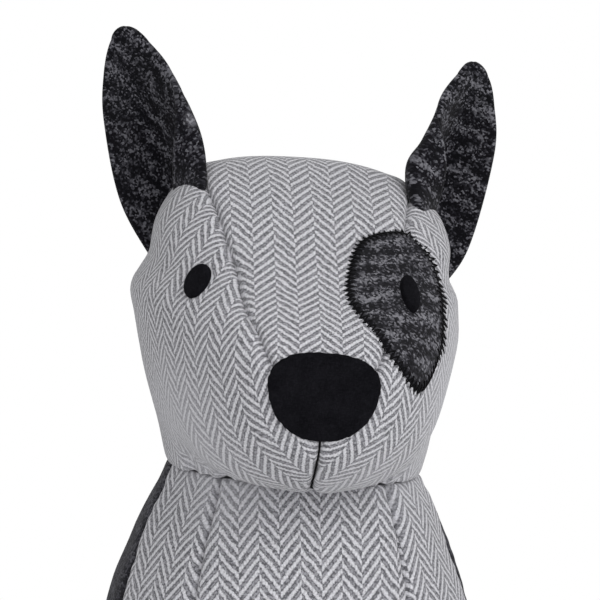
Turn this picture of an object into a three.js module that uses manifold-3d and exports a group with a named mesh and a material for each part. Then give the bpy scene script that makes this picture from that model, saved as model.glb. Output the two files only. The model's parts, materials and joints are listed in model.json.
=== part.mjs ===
// A dog door stop: a sitting cloth dog, sewn from panels, filled with fibre and weighted with a bag of sand.
// Millimetres, +Z up. The dog faces -Y, and the origin is the middle of its base, on the floor.
import * as THREE from "three";
import { mergeVertices } from "three/addons/utils/BufferGeometryUtils.js";
import Module from "manifold-3d";

const wasm = await Module();
wasm.setup();

// Cloth, felt and the room between two sewn pieces
const CLOTH = 1.2;
const FELT = 1.6;
const CLEARANCE = 0.3;
const SEAM_DIP = 1.3;
const SEAM_ROLL = 4.5;

// How finely the forms are worked out: the step that finds a slope, and how far a facet may stray
const SLOPE_STEP = 0.002;
const CRUMB = 0.02;
const EASING = CLEARANCE / 4;
const MEETING_TURNS = 16;

// Body: heights above the floor, half widths, and how far each level reaches forward and back
const HEM_HALF_WIDTH = 52;
const HEM_FORWARD = 55;
const HEM_BACK = 55;
const HEEL_HEIGHT = 11;
const HEEL_HALF_WIDTH = 62.5;
const HEEL_FORWARD = 64;
const HEEL_BACK = 67;
const HIP_HEIGHT = 46;
const HIP_HALF_WIDTH = 66.5;
const HIP_FORWARD = 65;
const HIP_BACK = 70;
const CHEST_HEIGHT = 98;
const CHEST_HALF_WIDTH = 62;
const CHEST_FORWARD = 61;
const CHEST_BACK = 57;
const SHOULDER_HEIGHT = 134;
const SHOULDER_HALF_WIDTH = 51.5;
const SHOULDER_FORWARD = 54;
const SHOULDER_BACK = 43;
const NECK_HEIGHT = 155;
const NECK_HALF_WIDTH = 42.7;
const NECK_FORWARD = 44;
const NECK_BACK = 36;
const NECK_AHEAD = 3;
const NECK_ASIDE = 1;
const NECK_LEAN = THREE.MathUtils.degToRad(3.5);
const HEAD_TURN = THREE.MathUtils.degToRad(-1.4);
const HEAD_ASIDE = 2.5;
const BODY_SQUARENESS = 2.15;

// Where the body's seams stand round it, from the middle of the chest
const CHEST_SEAM_AT_NECK = THREE.MathUtils.degToRad(40);
const CHEST_SEAM_AT_HEM = THREE.MathUtils.degToRad(29);
const CHEST_SHIFT = THREE.MathUtils.degToRad(-2.5);
const BACK_SEAM_AT_NECK = THREE.MathUtils.degToRad(82);
const BACK_SEAM_AT_HEM = THREE.MathUtils.degToRad(68);

// Head, measured from the middle of the neck: reach of the nose, height of the crown, width at the cheeks
const NOSE_REACH = 87;
const CROWN_HEIGHT = 103.5;
const CHEEK_HALF_WIDTH = 53.5;
const SKULL_BACK = 47;

// Felt nose and eyes, and the tweed patch round one eye: side and level place the middle of each on the head
// as seen from the front, spin leans it, and near is the head's ring and angle there, roughly
const NOSE_HALF_WIDTH = 17.4;
const LEFT_EYE = {
  side: -37.4,
  level: 64.7,
  width: 8.8,
  height: 13,
  spin: THREE.MathUtils.degToRad(12),
  near: [5.15, -0.95],
};
const RIGHT_EYE = {
  side: 28.2,
  level: 63.8,
  width: 6.2,
  height: 15.2,
  spin: THREE.MathUtils.degToRad(-21),
  near: [4.75, 0.74],
};
const PATCH = { side: 25.4, level: 61.2, width: 37.4, height: 55.5, spin: 0, near: [4.3, 0.7] };

// Ears: how tall they stand above their root, and how far they spread and cup
const EAR_ROOT = 68;
const EAR_HEIGHT = 74;
const EAR_SPREAD = 67;
const EAR_CUP = 30;
const EAR_LINING = 1.1;

// Bag of sand in the bottom of the body
const BAG_HALF_WIDTH = 46;
const BAG_HALF_DEPTH = 49;
const BAG_HEIGHT = 48;
const BAG_WIDEST = 0.3;
const BAG_SIDES = 28;
const BASE_SIDES = 56;

const COLOURS = { tweed: 0xb4b5ba, dark: 0x33353a, felt: 0x17171b, fibre: 0xe9e6de, calico: 0xd8cfba };

// A smooth curve through unevenly spaced stations: cubic pieces with the slopes of the neighbours' chords
function smoothThrough(at, values) {
  const last = at.length - 1;
  const slope = (i) => {
    const a = Math.max(i - 1, 0);
    const b = Math.min(i + 1, last);
    return (values[b] - values[a]) / (at[b] - at[a]);
  };
  return (x) => {
    let i = 0;
    while (i < last - 1 && x > at[i + 1]) i += 1;
    const span = at[i + 1] - at[i];
    const t = (x - at[i]) / span;
    const t2 = t * t;
    const t3 = t2 * t;
    return (
      (2 * t3 - 3 * t2 + 1) * values[i] +
      (t3 - 2 * t2 + t) * span * slope(i) +
      (3 * t2 - 2 * t3) * values[i + 1] +
      (t3 - t2) * span * slope(i + 1)
    );
  };
}

// One smooth curve for each property of a row of rings, against the ring's number
function curvesThrough(rings) {
  const at = rings.map((_, i) => i);
  const curves = {};
  for (const key of Object.keys(rings[0])) {
    curves[key] = smoothThrough(at, rings.map((ring) => ring[key]));
  }
  return curves;
}

// How far a rounded square stands outside the circle at an angle: squareness 2 is the circle itself
function cornerSwell(angle, squareness) {
  const sum = Math.abs(Math.sin(angle)) ** squareness + Math.abs(Math.cos(angle)) ** squareness;
  return sum ** (-1 / squareness);
}

// The body's rings, from the hem that is sewn to the base up to the neck
const HEM_HEIGHT = CLOTH + CLEARANCE;
const BODY = curvesThrough([
  { height: HEM_HEIGHT, half: HEM_HALF_WIDTH, forward: HEM_FORWARD, back: HEM_BACK },
  { height: HEEL_HEIGHT, half: HEEL_HALF_WIDTH, forward: HEEL_FORWARD, back: HEEL_BACK },
  { height: HIP_HEIGHT, half: HIP_HALF_WIDTH, forward: HIP_FORWARD, back: HIP_BACK },
  { height: CHEST_HEIGHT, half: CHEST_HALF_WIDTH, forward: CHEST_FORWARD, back: CHEST_BACK },
  { height: SHOULDER_HEIGHT, half: SHOULDER_HALF_WIDTH, forward: SHOULDER_FORWARD, back: SHOULDER_BACK },
  {
    height: NECK_HEIGHT,
    half: NECK_HALF_WIDTH,
    forward: NECK_FORWARD + NECK_AHEAD,
    back: NECK_BACK - NECK_AHEAD,
  },
]);
const BODY_TOP = 5;
const LEAN_FROM = 3;

// A point of the body: level runs from 0 at the hem to BODY_TOP, angle from 0 at the chest round to PI behind
function bodyPoint(level, angle) {
  const swell = cornerSwell(angle, BODY_SQUARENESS);
  const depth = Math.cos(angle) > 0 ? BODY.forward(level) : BODY.back(level);
  const x = BODY.half(level) * Math.sin(angle) * swell;
  const y = -depth * Math.cos(angle) * swell;
  const lean = Math.max(0, (level - LEAN_FROM) / (BODY_TOP - LEAN_FROM)) ** 2;
  return new THREE.Vector3(x + NECK_ASIDE * lean, y, BODY.height(level) - x * Math.tan(NECK_LEAN) * lean);
}

// The head's rings run from the tip of the nose, over the crown and down to the neck. Each is given by its
// highest point on the gusset, its lowest on the chin, its half width, how high up its widest place is, how
// square its brow and its jaw are (2 is round), how much of its half width the gusset takes, and how far it
// takes part in the head's set to one side of the neck.
const RING_KEYS = [
  "topForward", "topUp", "underForward", "underUp", "half", "widest", "brow", "jaw", "gusset", "aside",
];
const MUZZLE_RINGS = [
  [1.0, 0.34, 1.0, 0.32, 0.03, 0.5, 2, 2, 0.8, 0],
  [0.995, 0.4, 0.985, 0.23, 0.2, 0.57, 2.15, 2.1, 0.83, 0],
  [0.965, 0.465, 0.945, 0.14, 0.375, 0.6, 2.3, 2.2, 0.8, 0],
  [0.895, 0.53, 0.87, 0.075, 0.53, 0.62, 2.4, 2.3, 0.67, 0],
  [0.775, 0.61, 0.79, 0.032, 0.665, 0.6, 2.5, 2.4, 0.63, 0],
  [0.6, 0.725, 0.715, 0.01, 0.79, 0.58, 2.6, 2.5, 0.61, 0],
  [0.365, 0.875, 0.66, 0.004, 0.89, 0.58, 2.75, 2.6, 0.605, 0],
  [0.06, 0.99, 0.62, 0.004, 0.96, 0.58, 2.75, 2.6, 0.635, 0],
];
const SKULL_RINGS = [
  [-0.5, 0.945, 1.15, 0.003, 0.995, 0.57, 2.6, 2.5, 0.64, 0],
  [-0.86, 0.76, 1.11, 0.003, 0.985, 0.55, 2.4, 2.4, 0.62, 0.1],
  [-1.0, 0.5, 1.07, 0.003, 0.93, 0.52, 2.2, 2.3, 0.6, 0.4],
  [-0.95, 0.22, 1.03, 0.003, 0.86, 0.5, 2.15, 2.2, 0.58, 0.8],
];

function headRing(values, reachOfTop, reachOfUnder) {
  const ring = Object.fromEntries(RING_KEYS.map((key, i) => [key, values[i]]));
  ring.topForward *= reachOfTop;
  ring.underForward *= reachOfUnder;
  ring.topUp *= CROWN_HEIGHT;
  ring.underUp *= CROWN_HEIGHT;
  ring.half *= CHEEK_HALF_WIDTH;
  ring.aside *= HEAD_ASIDE;
  return ring;
}

const NECK_RING = {
  topForward: -NECK_BACK,
  topUp: CLEARANCE,
  underForward: NECK_FORWARD,
  underUp: CLEARANCE,
  half: NECK_HALF_WIDTH,
  widest: 0.5,
  brow: BODY_SQUARENESS,
  jaw: BODY_SQUARENESS,
  gusset: 0.56,
  aside: HEAD_ASIDE,
};
const HEAD = curvesThrough([
  ...MUZZLE_RINGS.map((values) => headRing(values, NOSE_REACH, NOSE_REACH)),
  ...SKULL_RINGS.map((values) => headRing(values, SKULL_BACK, NECK_FORWARD)),
  NECK_RING,
]);
const HEAD_END = MUZZLE_RINGS.length + SKULL_RINGS.length;

// A point of the head: ring runs from 0 at the nose to HEAD_END at the neck, angle from 0 on the gusset to PI
function headPoint(ring, angle) {
  const up = Math.cos(angle);
  const swell = cornerSwell(angle, up > 0 ? HEAD.brow(ring) : HEAD.jaw(ring));
  const share = up > 0 ? 1 - HEAD.widest(ring) : HEAD.widest(ring);
  const along = HEAD.widest(ring) + share * up * swell;
  const forward = HEAD.underForward(ring) + along * (HEAD.topForward(ring) - HEAD.underForward(ring));
  const height = HEAD.underUp(ring) + along * (HEAD.topUp(ring) - HEAD.underUp(ring));
  return new THREE.Vector3(HEAD.aside(ring) + HEAD.half(ring) * Math.sin(angle) * swell, -forward, height);
}

// The outward normal of a surface that is given as a function of two numbers
function normalOf(surface, a, b) {
  const along = surface(a + SLOPE_STEP, b).sub(surface(a - SLOPE_STEP, b));
  const round = surface(a, b + SLOPE_STEP).sub(surface(a, b - SLOPE_STEP));
  return round.cross(along).normalize();
}

function lifted(surface, a, b, height) {
  return surface(a, b).addScaledVector(normalOf(surface, a, b), height);
}

// How many millimetres one radian round the surface covers
function reachOf(surface, a, b) {
  return surface(a, b + SLOPE_STEP).distanceTo(surface(a, b - SLOPE_STEP)) / (2 * SLOPE_STEP);
}

// A closed mesh from points and faces, turned so that its faces point out
function solidMesh(points, faces) {
  let volume = 0;
  for (const [a, b, c] of faces) {
    volume += points[a].dot(new THREE.Vector3().crossVectors(points[b], points[c]));
  }
  const index = faces.flatMap(([a, b, c]) => (volume < 0 ? [a, c, b] : [a, b, c]));
  const geometry = new THREE.BufferGeometry().setFromPoints(points);
  geometry.setIndex(index);
  geometry.computeVertexNormals();
  return geometry;
}

// A thick sheet between two grids of points of the same size; round says that its columns close on themselves
function thickSheet(outer, inner, round = false) {
  const rows = outer.length;
  const columns = outer[0].length;
  const points = [...outer.flat(), ...inner.flat()];
  const under = rows * columns;
  const faces = [];
  const quad = (a, b, c, d) => faces.push([a, b, c], [a, c, d]);
  const steps = round ? columns : columns - 1;
  for (let r = 0; r < rows - 1; r += 1) {
    for (let c = 0; c < steps; c += 1) {
      const a = r * columns + c;
      const b = r * columns + ((c + 1) % columns);
      quad(a, b, b + columns, a + columns);
      quad(under + a, under + a + columns, under + b + columns, under + b);
    }
    if (!round) {
      const a = r * columns;
      const b = a + columns - 1;
      quad(a, a + columns, under + a + columns, under + a);
      quad(b + columns, b, under + b, under + b + columns);
    }
  }
  for (let c = 0; c < steps; c += 1) {
    const next = (c + 1) % columns;
    const end = (rows - 1) * columns;
    quad(next, c, under + c, under + next);
    quad(end + c, end + next, under + end + next, under + end + c);
  }
  return solidMesh(points, faces);
}

// A solid from rings of points, closed at each end by a fan round the middle of its ring
function loftedSolid(rings) {
  const columns = rings[0].length;
  const points = rings.flat();
  const faces = [];
  for (let r = 0; r < rings.length - 1; r += 1) {
    for (let c = 0; c < columns; c += 1) {
      const a = r * columns + c;
      const b = r * columns + ((c + 1) % columns);
      faces.push([a, b, b + columns], [a, b + columns, a + columns]);
    }
  }
  for (const [start, flip] of [[0, true], [(rings.length - 1) * columns, false]]) {
    const middle = new THREE.Vector3();
    for (let c = 0; c < columns; c += 1) middle.addScaledVector(points[start + c], 1 / columns);
    points.push(middle);
    for (let c = 0; c < columns; c += 1) {
      const a = start + c;
      const b = start + ((c + 1) % columns);
      faces.push(flip ? [b, a, points.length - 1] : [a, b, points.length - 1]);
    }
  }
  return solidMesh(points, faces);
}

// Conversions between three.js geometry and a manifold-3d solid, and a cut of one geometry by another
function manifoldOf(geometry) {
  const bare = geometry.clone();
  bare.deleteAttribute("normal");
  bare.deleteAttribute("uv");
  const merged = mergeVertices(bare, 1e-4);
  const vertProperties = merged.attributes.position.array;
  const triVerts = new Uint32Array(merged.index.array);
  return new wasm.Manifold(new wasm.Mesh({ numProp: 3, vertProperties, triVerts }));
}

function geometryOf(manifold) {
  const mesh = manifold.getMesh();
  const geometry = new THREE.BufferGeometry();
  geometry.setAttribute("position", new THREE.BufferAttribute(mesh.vertProperties, 3));
  geometry.setIndex(new THREE.BufferAttribute(mesh.triVerts, 1));
  geometry.computeVertexNormals();
  return geometry;
}

// What is left of a geometry once another is cut away: the largest piece, without crumbs
function cutAway(geometry, tool) {
  const pieces = manifoldOf(geometry).subtract(manifoldOf(tool)).decompose();
  pieces.sort((a, b) => b.volume() - a.volume());
  return geometryOf(pieces[0].simplify(CRUMB));
}

// The same shape with the facets taken out that its flat places don't need
function eased(geometry) {
  return geometryOf(manifoldOf(geometry).simplify(EASING));
}

// Columns between two seams: close together where the cloth rolls into each seam, even between. Each column
// holds its angle and how far the seam pulls it in.
function columnsBetween(surface, row, from, to, count) {
  const reach = reachOf(surface, row, (from + to) / 2);
  const gap = CLEARANCE / 2 / reach;
  const roll = Math.min(SEAM_ROLL / reach, (to - from) / 5);
  const dip = SEAM_DIP * Math.min(1, (roll * reach) / SEAM_ROLL);
  const flat = to - from - 2 * roll;
  const inner = Array.from({ length: count + 1 }, (_, i) => from + roll + (flat * i) / count);
  return [
    { angle: from + gap, dip },
    { angle: from + roll / 3, dip: dip * 0.4 },
    ...inner.map((angle) => ({ angle, dip: 0 })),
    { angle: to - roll / 3, dip: dip * 0.4 },
    { angle: to - gap, dip },
  ];
}

// Seams of the head and body, as angles at a ring or level
function gussetSeam(ring) {
  return Math.asin(HEAD.gusset(ring));
}

function chestSeam(level) {
  return THREE.MathUtils.lerp(CHEST_SEAM_AT_HEM, CHEST_SEAM_AT_NECK, level / BODY_TOP);
}

function backSeam(level) {
  return THREE.MathUtils.lerp(BACK_SEAM_AT_HEM, BACK_SEAM_AT_NECK, (level / BODY_TOP) ** 2);
}

const HEAD_PANELS = {
  head_top_gusset: { from: (ring) => -gussetSeam(ring), to: gussetSeam, count: 5 },
  head_side_right: { from: gussetSeam, to: () => Math.PI, count: 7 },
  head_side_left: { from: () => Math.PI, to: (ring) => 2 * Math.PI - gussetSeam(ring), count: 7 },
};
const BODY_PANELS = {
  body_chest_panel: {
    from: (level) => CHEST_SHIFT - chestSeam(level),
    to: (level) => CHEST_SHIFT + chestSeam(level),
    count: 5,
  },
  body_side_right: { from: (level) => CHEST_SHIFT + chestSeam(level), to: backSeam, count: 3 },
  body_back_panel: { from: backSeam, to: (level) => 2 * Math.PI - backSeam(level), count: 10 },
  body_side_left: {
    from: (level) => 2 * Math.PI - backSeam(level),
    to: (level) => 2 * Math.PI + CHEST_SHIFT - chestSeam(level),
    count: 3,
  },
};

const HEAD_ROWS = Array.from({ length: 2 * HEAD_END + 1 }, (_, i) => i / 2);
const BODY_ROWS = [0, 0.25, 0.55, 1, 1.5, 2, 2.5, 3, 3.5, 4, 4.5, BODY_TOP];

// One cloth panel between its seams
function clothPanel(surface, rows, panel) {
  const grid = (depth) =>
    rows.map((row) =>
      columnsBetween(surface, row, panel.from(row), panel.to(row), panel.count).map(({ angle, dip }) =>
        lifted(surface, row, angle, -dip - depth),
      ),
    );
  return thickSheet(grid(0), grid(CLOTH));
}

// Closed rings that follow all the panels of a surface and their seams at one depth below it
function fillingRings(surface, rows, panels, depth) {
  return rows.map((row) =>
    Object.values(panels).flatMap((panel) =>
      columnsBetween(surface, row, panel.from(row), panel.to(row), panel.count).map(({ angle, dip }) =>
        lifted(surface, row, angle, -dip - depth),
      ),
    ),
  );
}

// The place on the head where a straight line along direction, through start, meets it
function meetHead(start, direction, guess) {
  const sideways = new THREE.Vector3(0, 0, 1).cross(direction).normalize();
  const upwards = direction.clone().cross(sideways);
  const miss = (ring, angle) => {
    const off = headPoint(ring, angle).sub(start);
    return [off.dot(sideways), off.dot(upwards)];
  };
  let [ring, angle] = guess;
  for (let turn = 0; turn < MEETING_TURNS; turn += 1) {
    const [p, q] = miss(ring, angle);
    const [pr, qr] = miss(ring + SLOPE_STEP, angle);
    const [pa, qa] = miss(ring, angle + SLOPE_STEP);
    const [a, b, c, d] = [pr - p, pa - p, qr - q, qa - q].map((change) => change / SLOPE_STEP);
    const determinant = a * d - b * c;
    ring -= (d * p - b * q) / determinant;
    angle -= (a * q - c * p) / determinant;
  }
  return [ring, angle];
}

// A flat cut shape laid on the head. outline(turn) gives its edge as [across, up] for a turn from 0 to 1.
function laidOnHead(outline, place, lift, thickness, points, circles) {
  const front = new THREE.Vector3(0, -1, 0);
  const middle = meetHead(new THREE.Vector3(place.side, 0, place.level), front, place.near);
  const centre = headPoint(...middle);
  const normal = normalOf(headPoint, ...middle);
  const across = new THREE.Vector3(0, 0, 1).cross(normal).normalize();
  const up = normal.clone().cross(across);
  across.applyAxisAngle(normal, place.spin);
  up.applyAxisAngle(normal, place.spin);
  const found = Array.from({ length: points }, () => middle);
  const grids = [[], []];
  for (let circle = 1; circle <= circles; circle += 1) {
    const share = circle / circles;
    const row = [[], []];
    for (let i = 0; i < points; i += 1) {
      const [p, q] = outline(i / points);
      const start = centre.clone().addScaledVector(across, p * share).addScaledVector(up, q * share);
      found[i] = meetHead(start, normal, found[i]);
      row[0].push(lifted(headPoint, ...found[i], lift + thickness));
      row[1].push(lifted(headPoint, ...found[i], lift));
    }
    grids[0].push(row[0]);
    grids[1].unshift(row[1]);
  }
  return loftedSolid([...grids[0], ...grids[1]]);
}

function feltEye(eye, lift) {
  const oval = (turn) => [
    (eye.width / 2) * Math.sin(2 * Math.PI * turn),
    (eye.height / 2) * Math.cos(2 * Math.PI * turn),
  ];
  return laidOnHead(oval, eye, lift, FELT, 18, 2);
}

// The patch is a leaf, broad above and drawn in to a blunt point below, as shares of its width and height
const patchCurve = new THREE.CatmullRomCurve3(
  [
    [0, 0.5],
    [0.35, 0.53],
    [0.5, 0.44],
    [0.57, 0.22],
    [0.48, 0],
    [0.35, -0.22],
    [0.12, -0.42],
    [-0.08, -0.46],
    [-0.3, -0.35],
    [-0.42, -0.1],
    [-0.43, 0.1],
    [-0.25, 0.32],
  ].map(([across, up]) => new THREE.Vector3(across * PATCH.width, up * PATCH.height, 0)),
  true,
);

function patchPattern(turn) {
  const point = patchCurve.getPointAt(1 - turn);
  return [point.x, point.y];
}

// The nose is cut round the tip of the muzzle: its edge lies on the ring that its half width asks for, a
// little further back above and nearer the tip below
const NOSE_EDGE = [1.13, 1.14, 1, 0.84, 0.78];

function feltNose(points, circles) {
  let edge = 0;
  while (HEAD.half(edge) < NOSE_HALF_WIDTH) edge += SLOPE_STEP;
  const share = smoothThrough([0, 0.25, 0.5, 0.75, 1], NOSE_EDGE);
  const grids = [[], []];
  for (let circle = 1; circle <= circles; circle += 1) {
    const row = [[], []];
    for (let i = 0; i < points; i += 1) {
      const angle = (2 * Math.PI * i) / points;
      const ring = (edge * share(Math.min(angle, 2 * Math.PI - angle) / Math.PI) * circle) / circles;
      row[0].push(lifted(headPoint, ring, angle, CLEARANCE + FELT));
      row[1].push(lifted(headPoint, ring, angle, CLEARANCE));
    }
    grids[0].push(row[0]);
    grids[1].unshift(row[1]);
  }
  return loftedSolid([...grids[0], ...grids[1]]);
}

// Each ear is a leaf of cloth curled into a cup. A station up the ear has four points across it: the rolled
// front edge, the fold beside the gusset, the bottom of the cup and the outer edge; each is given as shares
// of the spread, the cup and the height of the ear.
const LEFT_EAR = [
  [[0.61, 0.05, 0.19], [0.52, 0.98, 0.19], [0.49, -0.13, 0.13], [0.7, -0.45, -0.08]],
  [[0.655, 0.33, 0.44], [0.525, 0.52, 0.44], [0.66, -0.15, 0.43], [0.95, -0.23, 0.4]],
  [[0.665, 0.4, 0.6], [0.6, 0.27, 0.61], [0.76, -0.13, 0.61], [0.99, -0.1, 0.63]],
  [[0.715, 0.09, 0.8], [0.755, 0.02, 0.8], [0.86, -0.07, 0.79], [1.0, -0.03, 0.79]],
  [[0.848, 0, 0.957], [0.87, -0.01, 0.965], [0.915, -0.02, 0.975], [0.97, 0, 0.942]],
  [[0.892, 0, 0.992], [0.905, 0, 0.998], [0.922, 0, 1.0], [0.943, 0, 0.99]],
];
const RIGHT_EAR = [
  [[0.635, 0.2, 0.19], [0.56, 0.95, 0.17], [0.5, -0.13, 0.13], [0.79, -0.43, -0.13]],
  [[0.685, 0.42, 0.43], [0.5, 0.6, 0.44], [0.63, -0.13, 0.42], [0.963, -0.23, 0.39]],
  [[0.67, 0.42, 0.57], [0.575, 0.38, 0.575], [0.73, -0.12, 0.58], [0.98, -0.13, 0.595]],
  [[0.65, 0.17, 0.744], [0.69, 0.08, 0.745], [0.8, -0.07, 0.75], [0.945, -0.07, 0.754]],
  [[0.75, 0.03, 0.89], [0.775, 0.01, 0.9], [0.828, -0.02, 0.908], [0.9, 0, 0.877]],
  [[0.8, 0, 0.924], [0.813, 0, 0.93], [0.828, 0, 0.932], [0.85, 0, 0.921]],
];

function earSurface(stationTable, hand) {
  const axis = (pick, scale, base) => {
    const up = [0, 1, 2, 3].map((guide) => {
      const values = stationTable.map((station) => base + scale * station[guide][pick]);
      return smoothThrough(values.map((_, i) => i), values);
    });
    return (height, across) => smoothThrough([0, 1, 2, 3], up.map((curve) => curve(height)))(across);
  };
  const side = axis(0, EAR_SPREAD * hand, 0);
  const forward = axis(1, EAR_CUP, 0);
  const level = axis(2, EAR_HEIGHT, EAR_ROOT);
  return (height, across) =>
    new THREE.Vector3(side(height, across), -forward(height, across), level(height, across));
}

// One of the two layers of an ear, cut off where the head begins: rows go up the ear, columns across it
const EAR_ROWS = [0, 0.3, 0.5, 0.75, 1, 1.35, 1.75, 2.2, 2.65, 3.1, 3.55, 3.95, 4.3, 4.6, 4.85];
const EAR_COLUMNS = [0, 0.3, 0.6, 0.85, 1.1, 1.4, 1.8, 2.2, 2.6, 3];

function earLayer(surface, hand, from, to, envelope) {
  const grid = (height) =>
    EAR_ROWS.map((row) => EAR_COLUMNS.map((column) => lifted(surface, row, column, height * hand)));
  return cutAway(thickSheet(grid(from), grid(to)), envelope);
}

// The sand bag: rings of a soft flattened bag, grown by a margin for the room it lies in
function bagRings(margin, floor) {
  const shape = [
    [0, 0.78],
    [0.1, 0.93],
    [BAG_WIDEST, 1],
    [0.55, 0.93],
    [0.78, 0.72],
    [0.93, 0.42],
    [1, 0.14],
  ];
  return shape.map(([height, size]) => {
    const above = Math.sign(height - BAG_WIDEST) * margin;
    const z = height === 0 ? floor : HEM_HEIGHT + height * BAG_HEIGHT + above;
    return Array.from({ length: BAG_SIDES }, (_, i) => {
      const around = (2 * Math.PI * i) / BAG_SIDES;
      const x = (BAG_HALF_WIDTH * size + margin) * Math.cos(around);
      const y = (BAG_HALF_DEPTH * size + margin) * Math.sin(around);
      return new THREE.Vector3(x, y, z);
    });
  });
}

// The base panel, cut to the outline of the hem
function basePanel() {
  const hem = Array.from({ length: BASE_SIDES }, (_, i) => bodyPoint(0, (2 * Math.PI * i) / BASE_SIDES));
  const ring = (height) => hem.map((point) => new THREE.Vector3(point.x, point.y, height));
  return loftedSolid([ring(0), ring(CLOTH)]);
}

function bodyFilling() {
  const rings = fillingRings(bodyPoint, BODY_ROWS, BODY_PANELS, CLOTH + CLEARANCE);
  const foot = rings[0].map((point) => new THREE.Vector3(point.x, point.y, HEM_HEIGHT));
  const pocket = loftedSolid(bagRings(CLEARANCE, HEM_HEIGHT - CLEARANCE));
  return cutAway(eased(loftedSolid([foot, ...rings])), pocket);
}

const group = new THREE.Group();
const head = new THREE.Group();
head.position.set(NECK_ASIDE - HEAD_ASIDE, -NECK_AHEAD, NECK_HEIGHT);
head.rotation.set(0, NECK_LEAN, HEAD_TURN);
group.add(head);

function add(parent, name, geometry, colour) {
  const material = new THREE.MeshStandardMaterial({ color: COLOURS[colour], roughness: 0.95, metalness: 0 });
  const mesh = new THREE.Mesh(geometry, material);
  mesh.name = name;
  parent.add(mesh);
}

for (const [name, panel] of Object.entries(HEAD_PANELS)) {
  add(head, name, clothPanel(headPoint, HEAD_ROWS, panel), "tweed");
}
const headFilling = eased(loftedSolid(fillingRings(headPoint, HEAD_ROWS, HEAD_PANELS, CLOTH + CLEARANCE)));
add(head, "head_filling", headFilling, "fibre");

const envelope = loftedSolid(fillingRings(headPoint, HEAD_ROWS, HEAD_PANELS, -CLEARANCE));
const layer = EAR_LINING + CLEARANCE / 2;
for (const [side, table, hand] of [["left", LEFT_EAR, -1], ["right", RIGHT_EAR, 1]]) {
  const ear = earSurface(table, hand);
  add(head, `ear_${side}_lining`, earLayer(ear, hand, CLEARANCE / 2, layer, envelope), "dark");
  add(head, `ear_${side}_back`, earLayer(ear, hand, -CLEARANCE / 2, -layer, envelope), "dark");
}

add(head, "nose", feltNose(30, 4), "felt");
add(head, "eye_patch", laidOnHead(patchPattern, PATCH, CLEARANCE, CLOTH, 36, 4), "dark");
add(head, "eye_left", feltEye(LEFT_EYE, CLEARANCE), "felt");
add(head, "eye_right", feltEye(RIGHT_EYE, CLOTH + 2 * CLEARANCE), "felt");

for (const [name, panel] of Object.entries(BODY_PANELS)) {
  add(group, name, clothPanel(bodyPoint, BODY_ROWS, panel), name === "body_back_panel" ? "dark" : "tweed");
}
add(group, "body_filling", bodyFilling(), "fibre");
add(group, "weight_bag", loftedSolid(bagRings(0, HEM_HEIGHT)), "calico");
add(group, "base_panel", basePanel(), "dark");

export default group;
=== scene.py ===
# %% [markdown]
# A cloth dog that holds a door open. It is sewn from herringbone tweed with dark ears, back and eye patch,
# stuffed with fibre, and has a bag of sand in its bottom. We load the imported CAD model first. It is the
# frame: every cloth piece below stands where a CAD solid stands, and hides it.

import json
import math

import bmesh
import bpy
import numpy as np
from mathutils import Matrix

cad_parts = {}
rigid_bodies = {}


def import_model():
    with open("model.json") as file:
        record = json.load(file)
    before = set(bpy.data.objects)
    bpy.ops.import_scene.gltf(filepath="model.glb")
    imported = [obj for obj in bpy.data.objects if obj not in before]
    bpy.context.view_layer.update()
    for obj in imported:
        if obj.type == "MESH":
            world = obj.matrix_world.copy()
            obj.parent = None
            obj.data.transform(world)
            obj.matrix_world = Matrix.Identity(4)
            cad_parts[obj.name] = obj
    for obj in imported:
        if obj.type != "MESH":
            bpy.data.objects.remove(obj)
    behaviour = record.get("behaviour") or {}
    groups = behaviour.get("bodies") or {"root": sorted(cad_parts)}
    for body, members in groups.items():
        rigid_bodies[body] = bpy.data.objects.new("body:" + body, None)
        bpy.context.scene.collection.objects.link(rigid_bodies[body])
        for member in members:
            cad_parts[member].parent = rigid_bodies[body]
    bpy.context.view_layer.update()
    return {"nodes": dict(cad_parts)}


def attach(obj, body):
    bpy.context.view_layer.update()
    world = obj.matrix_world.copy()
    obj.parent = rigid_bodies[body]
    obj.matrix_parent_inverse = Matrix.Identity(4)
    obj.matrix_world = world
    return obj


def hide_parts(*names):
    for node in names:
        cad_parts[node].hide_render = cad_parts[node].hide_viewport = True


MM = 0.001
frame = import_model()

# %% [markdown]
# The photograph was taken from just above the dog's ears, slightly from the left, with a long lens. A
# camera can be placed by hand in the viewport. Here its angles, distance and lens are numbers instead, so
# each can be set on its own. It looks at the muzzle from 1.1 m away, so nearer parts are only a little
# larger than farther ones.

# %% Camera
CAMERA_AZIMUTH = math.radians(-8.5)
CAMERA_ELEVATION = math.radians(6)
CAMERA_DISTANCE = 1.1
CAMERA_LENS = 198
CAMERA_SENSOR = 36
CAMERA_TARGET = np.array([4.64, 2.12, 209.7]) * MM

toward_camera = np.array([
    math.sin(CAMERA_AZIMUTH) * math.cos(CAMERA_ELEVATION),
    -math.cos(CAMERA_AZIMUTH) * math.cos(CAMERA_ELEVATION),
    math.sin(CAMERA_ELEVATION),
])
camera_data = bpy.data.cameras.new("camera")
camera_data.lens = CAMERA_LENS
camera_data.sensor_width = CAMERA_SENSOR
camera = bpy.data.objects.new("camera", camera_data)
camera.location = CAMERA_TARGET + toward_camera * CAMERA_DISTANCE
camera.rotation_euler = (math.pi / 2 - CAMERA_ELEVATION, 0, CAMERA_AZIMUTH)
bpy.context.scene.collection.objects.link(camera)
bpy.context.scene.camera = camera
bpy.context.scene.view_settings.view_transform = "Standard"
print("camera:", CAMERA_LENS, "mm lens at", camera.location[:], "m")

# %% [markdown]
# A material is a small graph of nodes. It could be wired in the node editor, or written out call by call,
# which is hard to read. So this helper gives each node one line: a sum, a noise or a mix takes numbers or
# other nodes' outputs, and gives back its own output. The world's background is such a graph too.


# %% A helper that writes materials as sums
CLOTH_MAP = "cloth"
MAP_UNIT = 100
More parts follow.
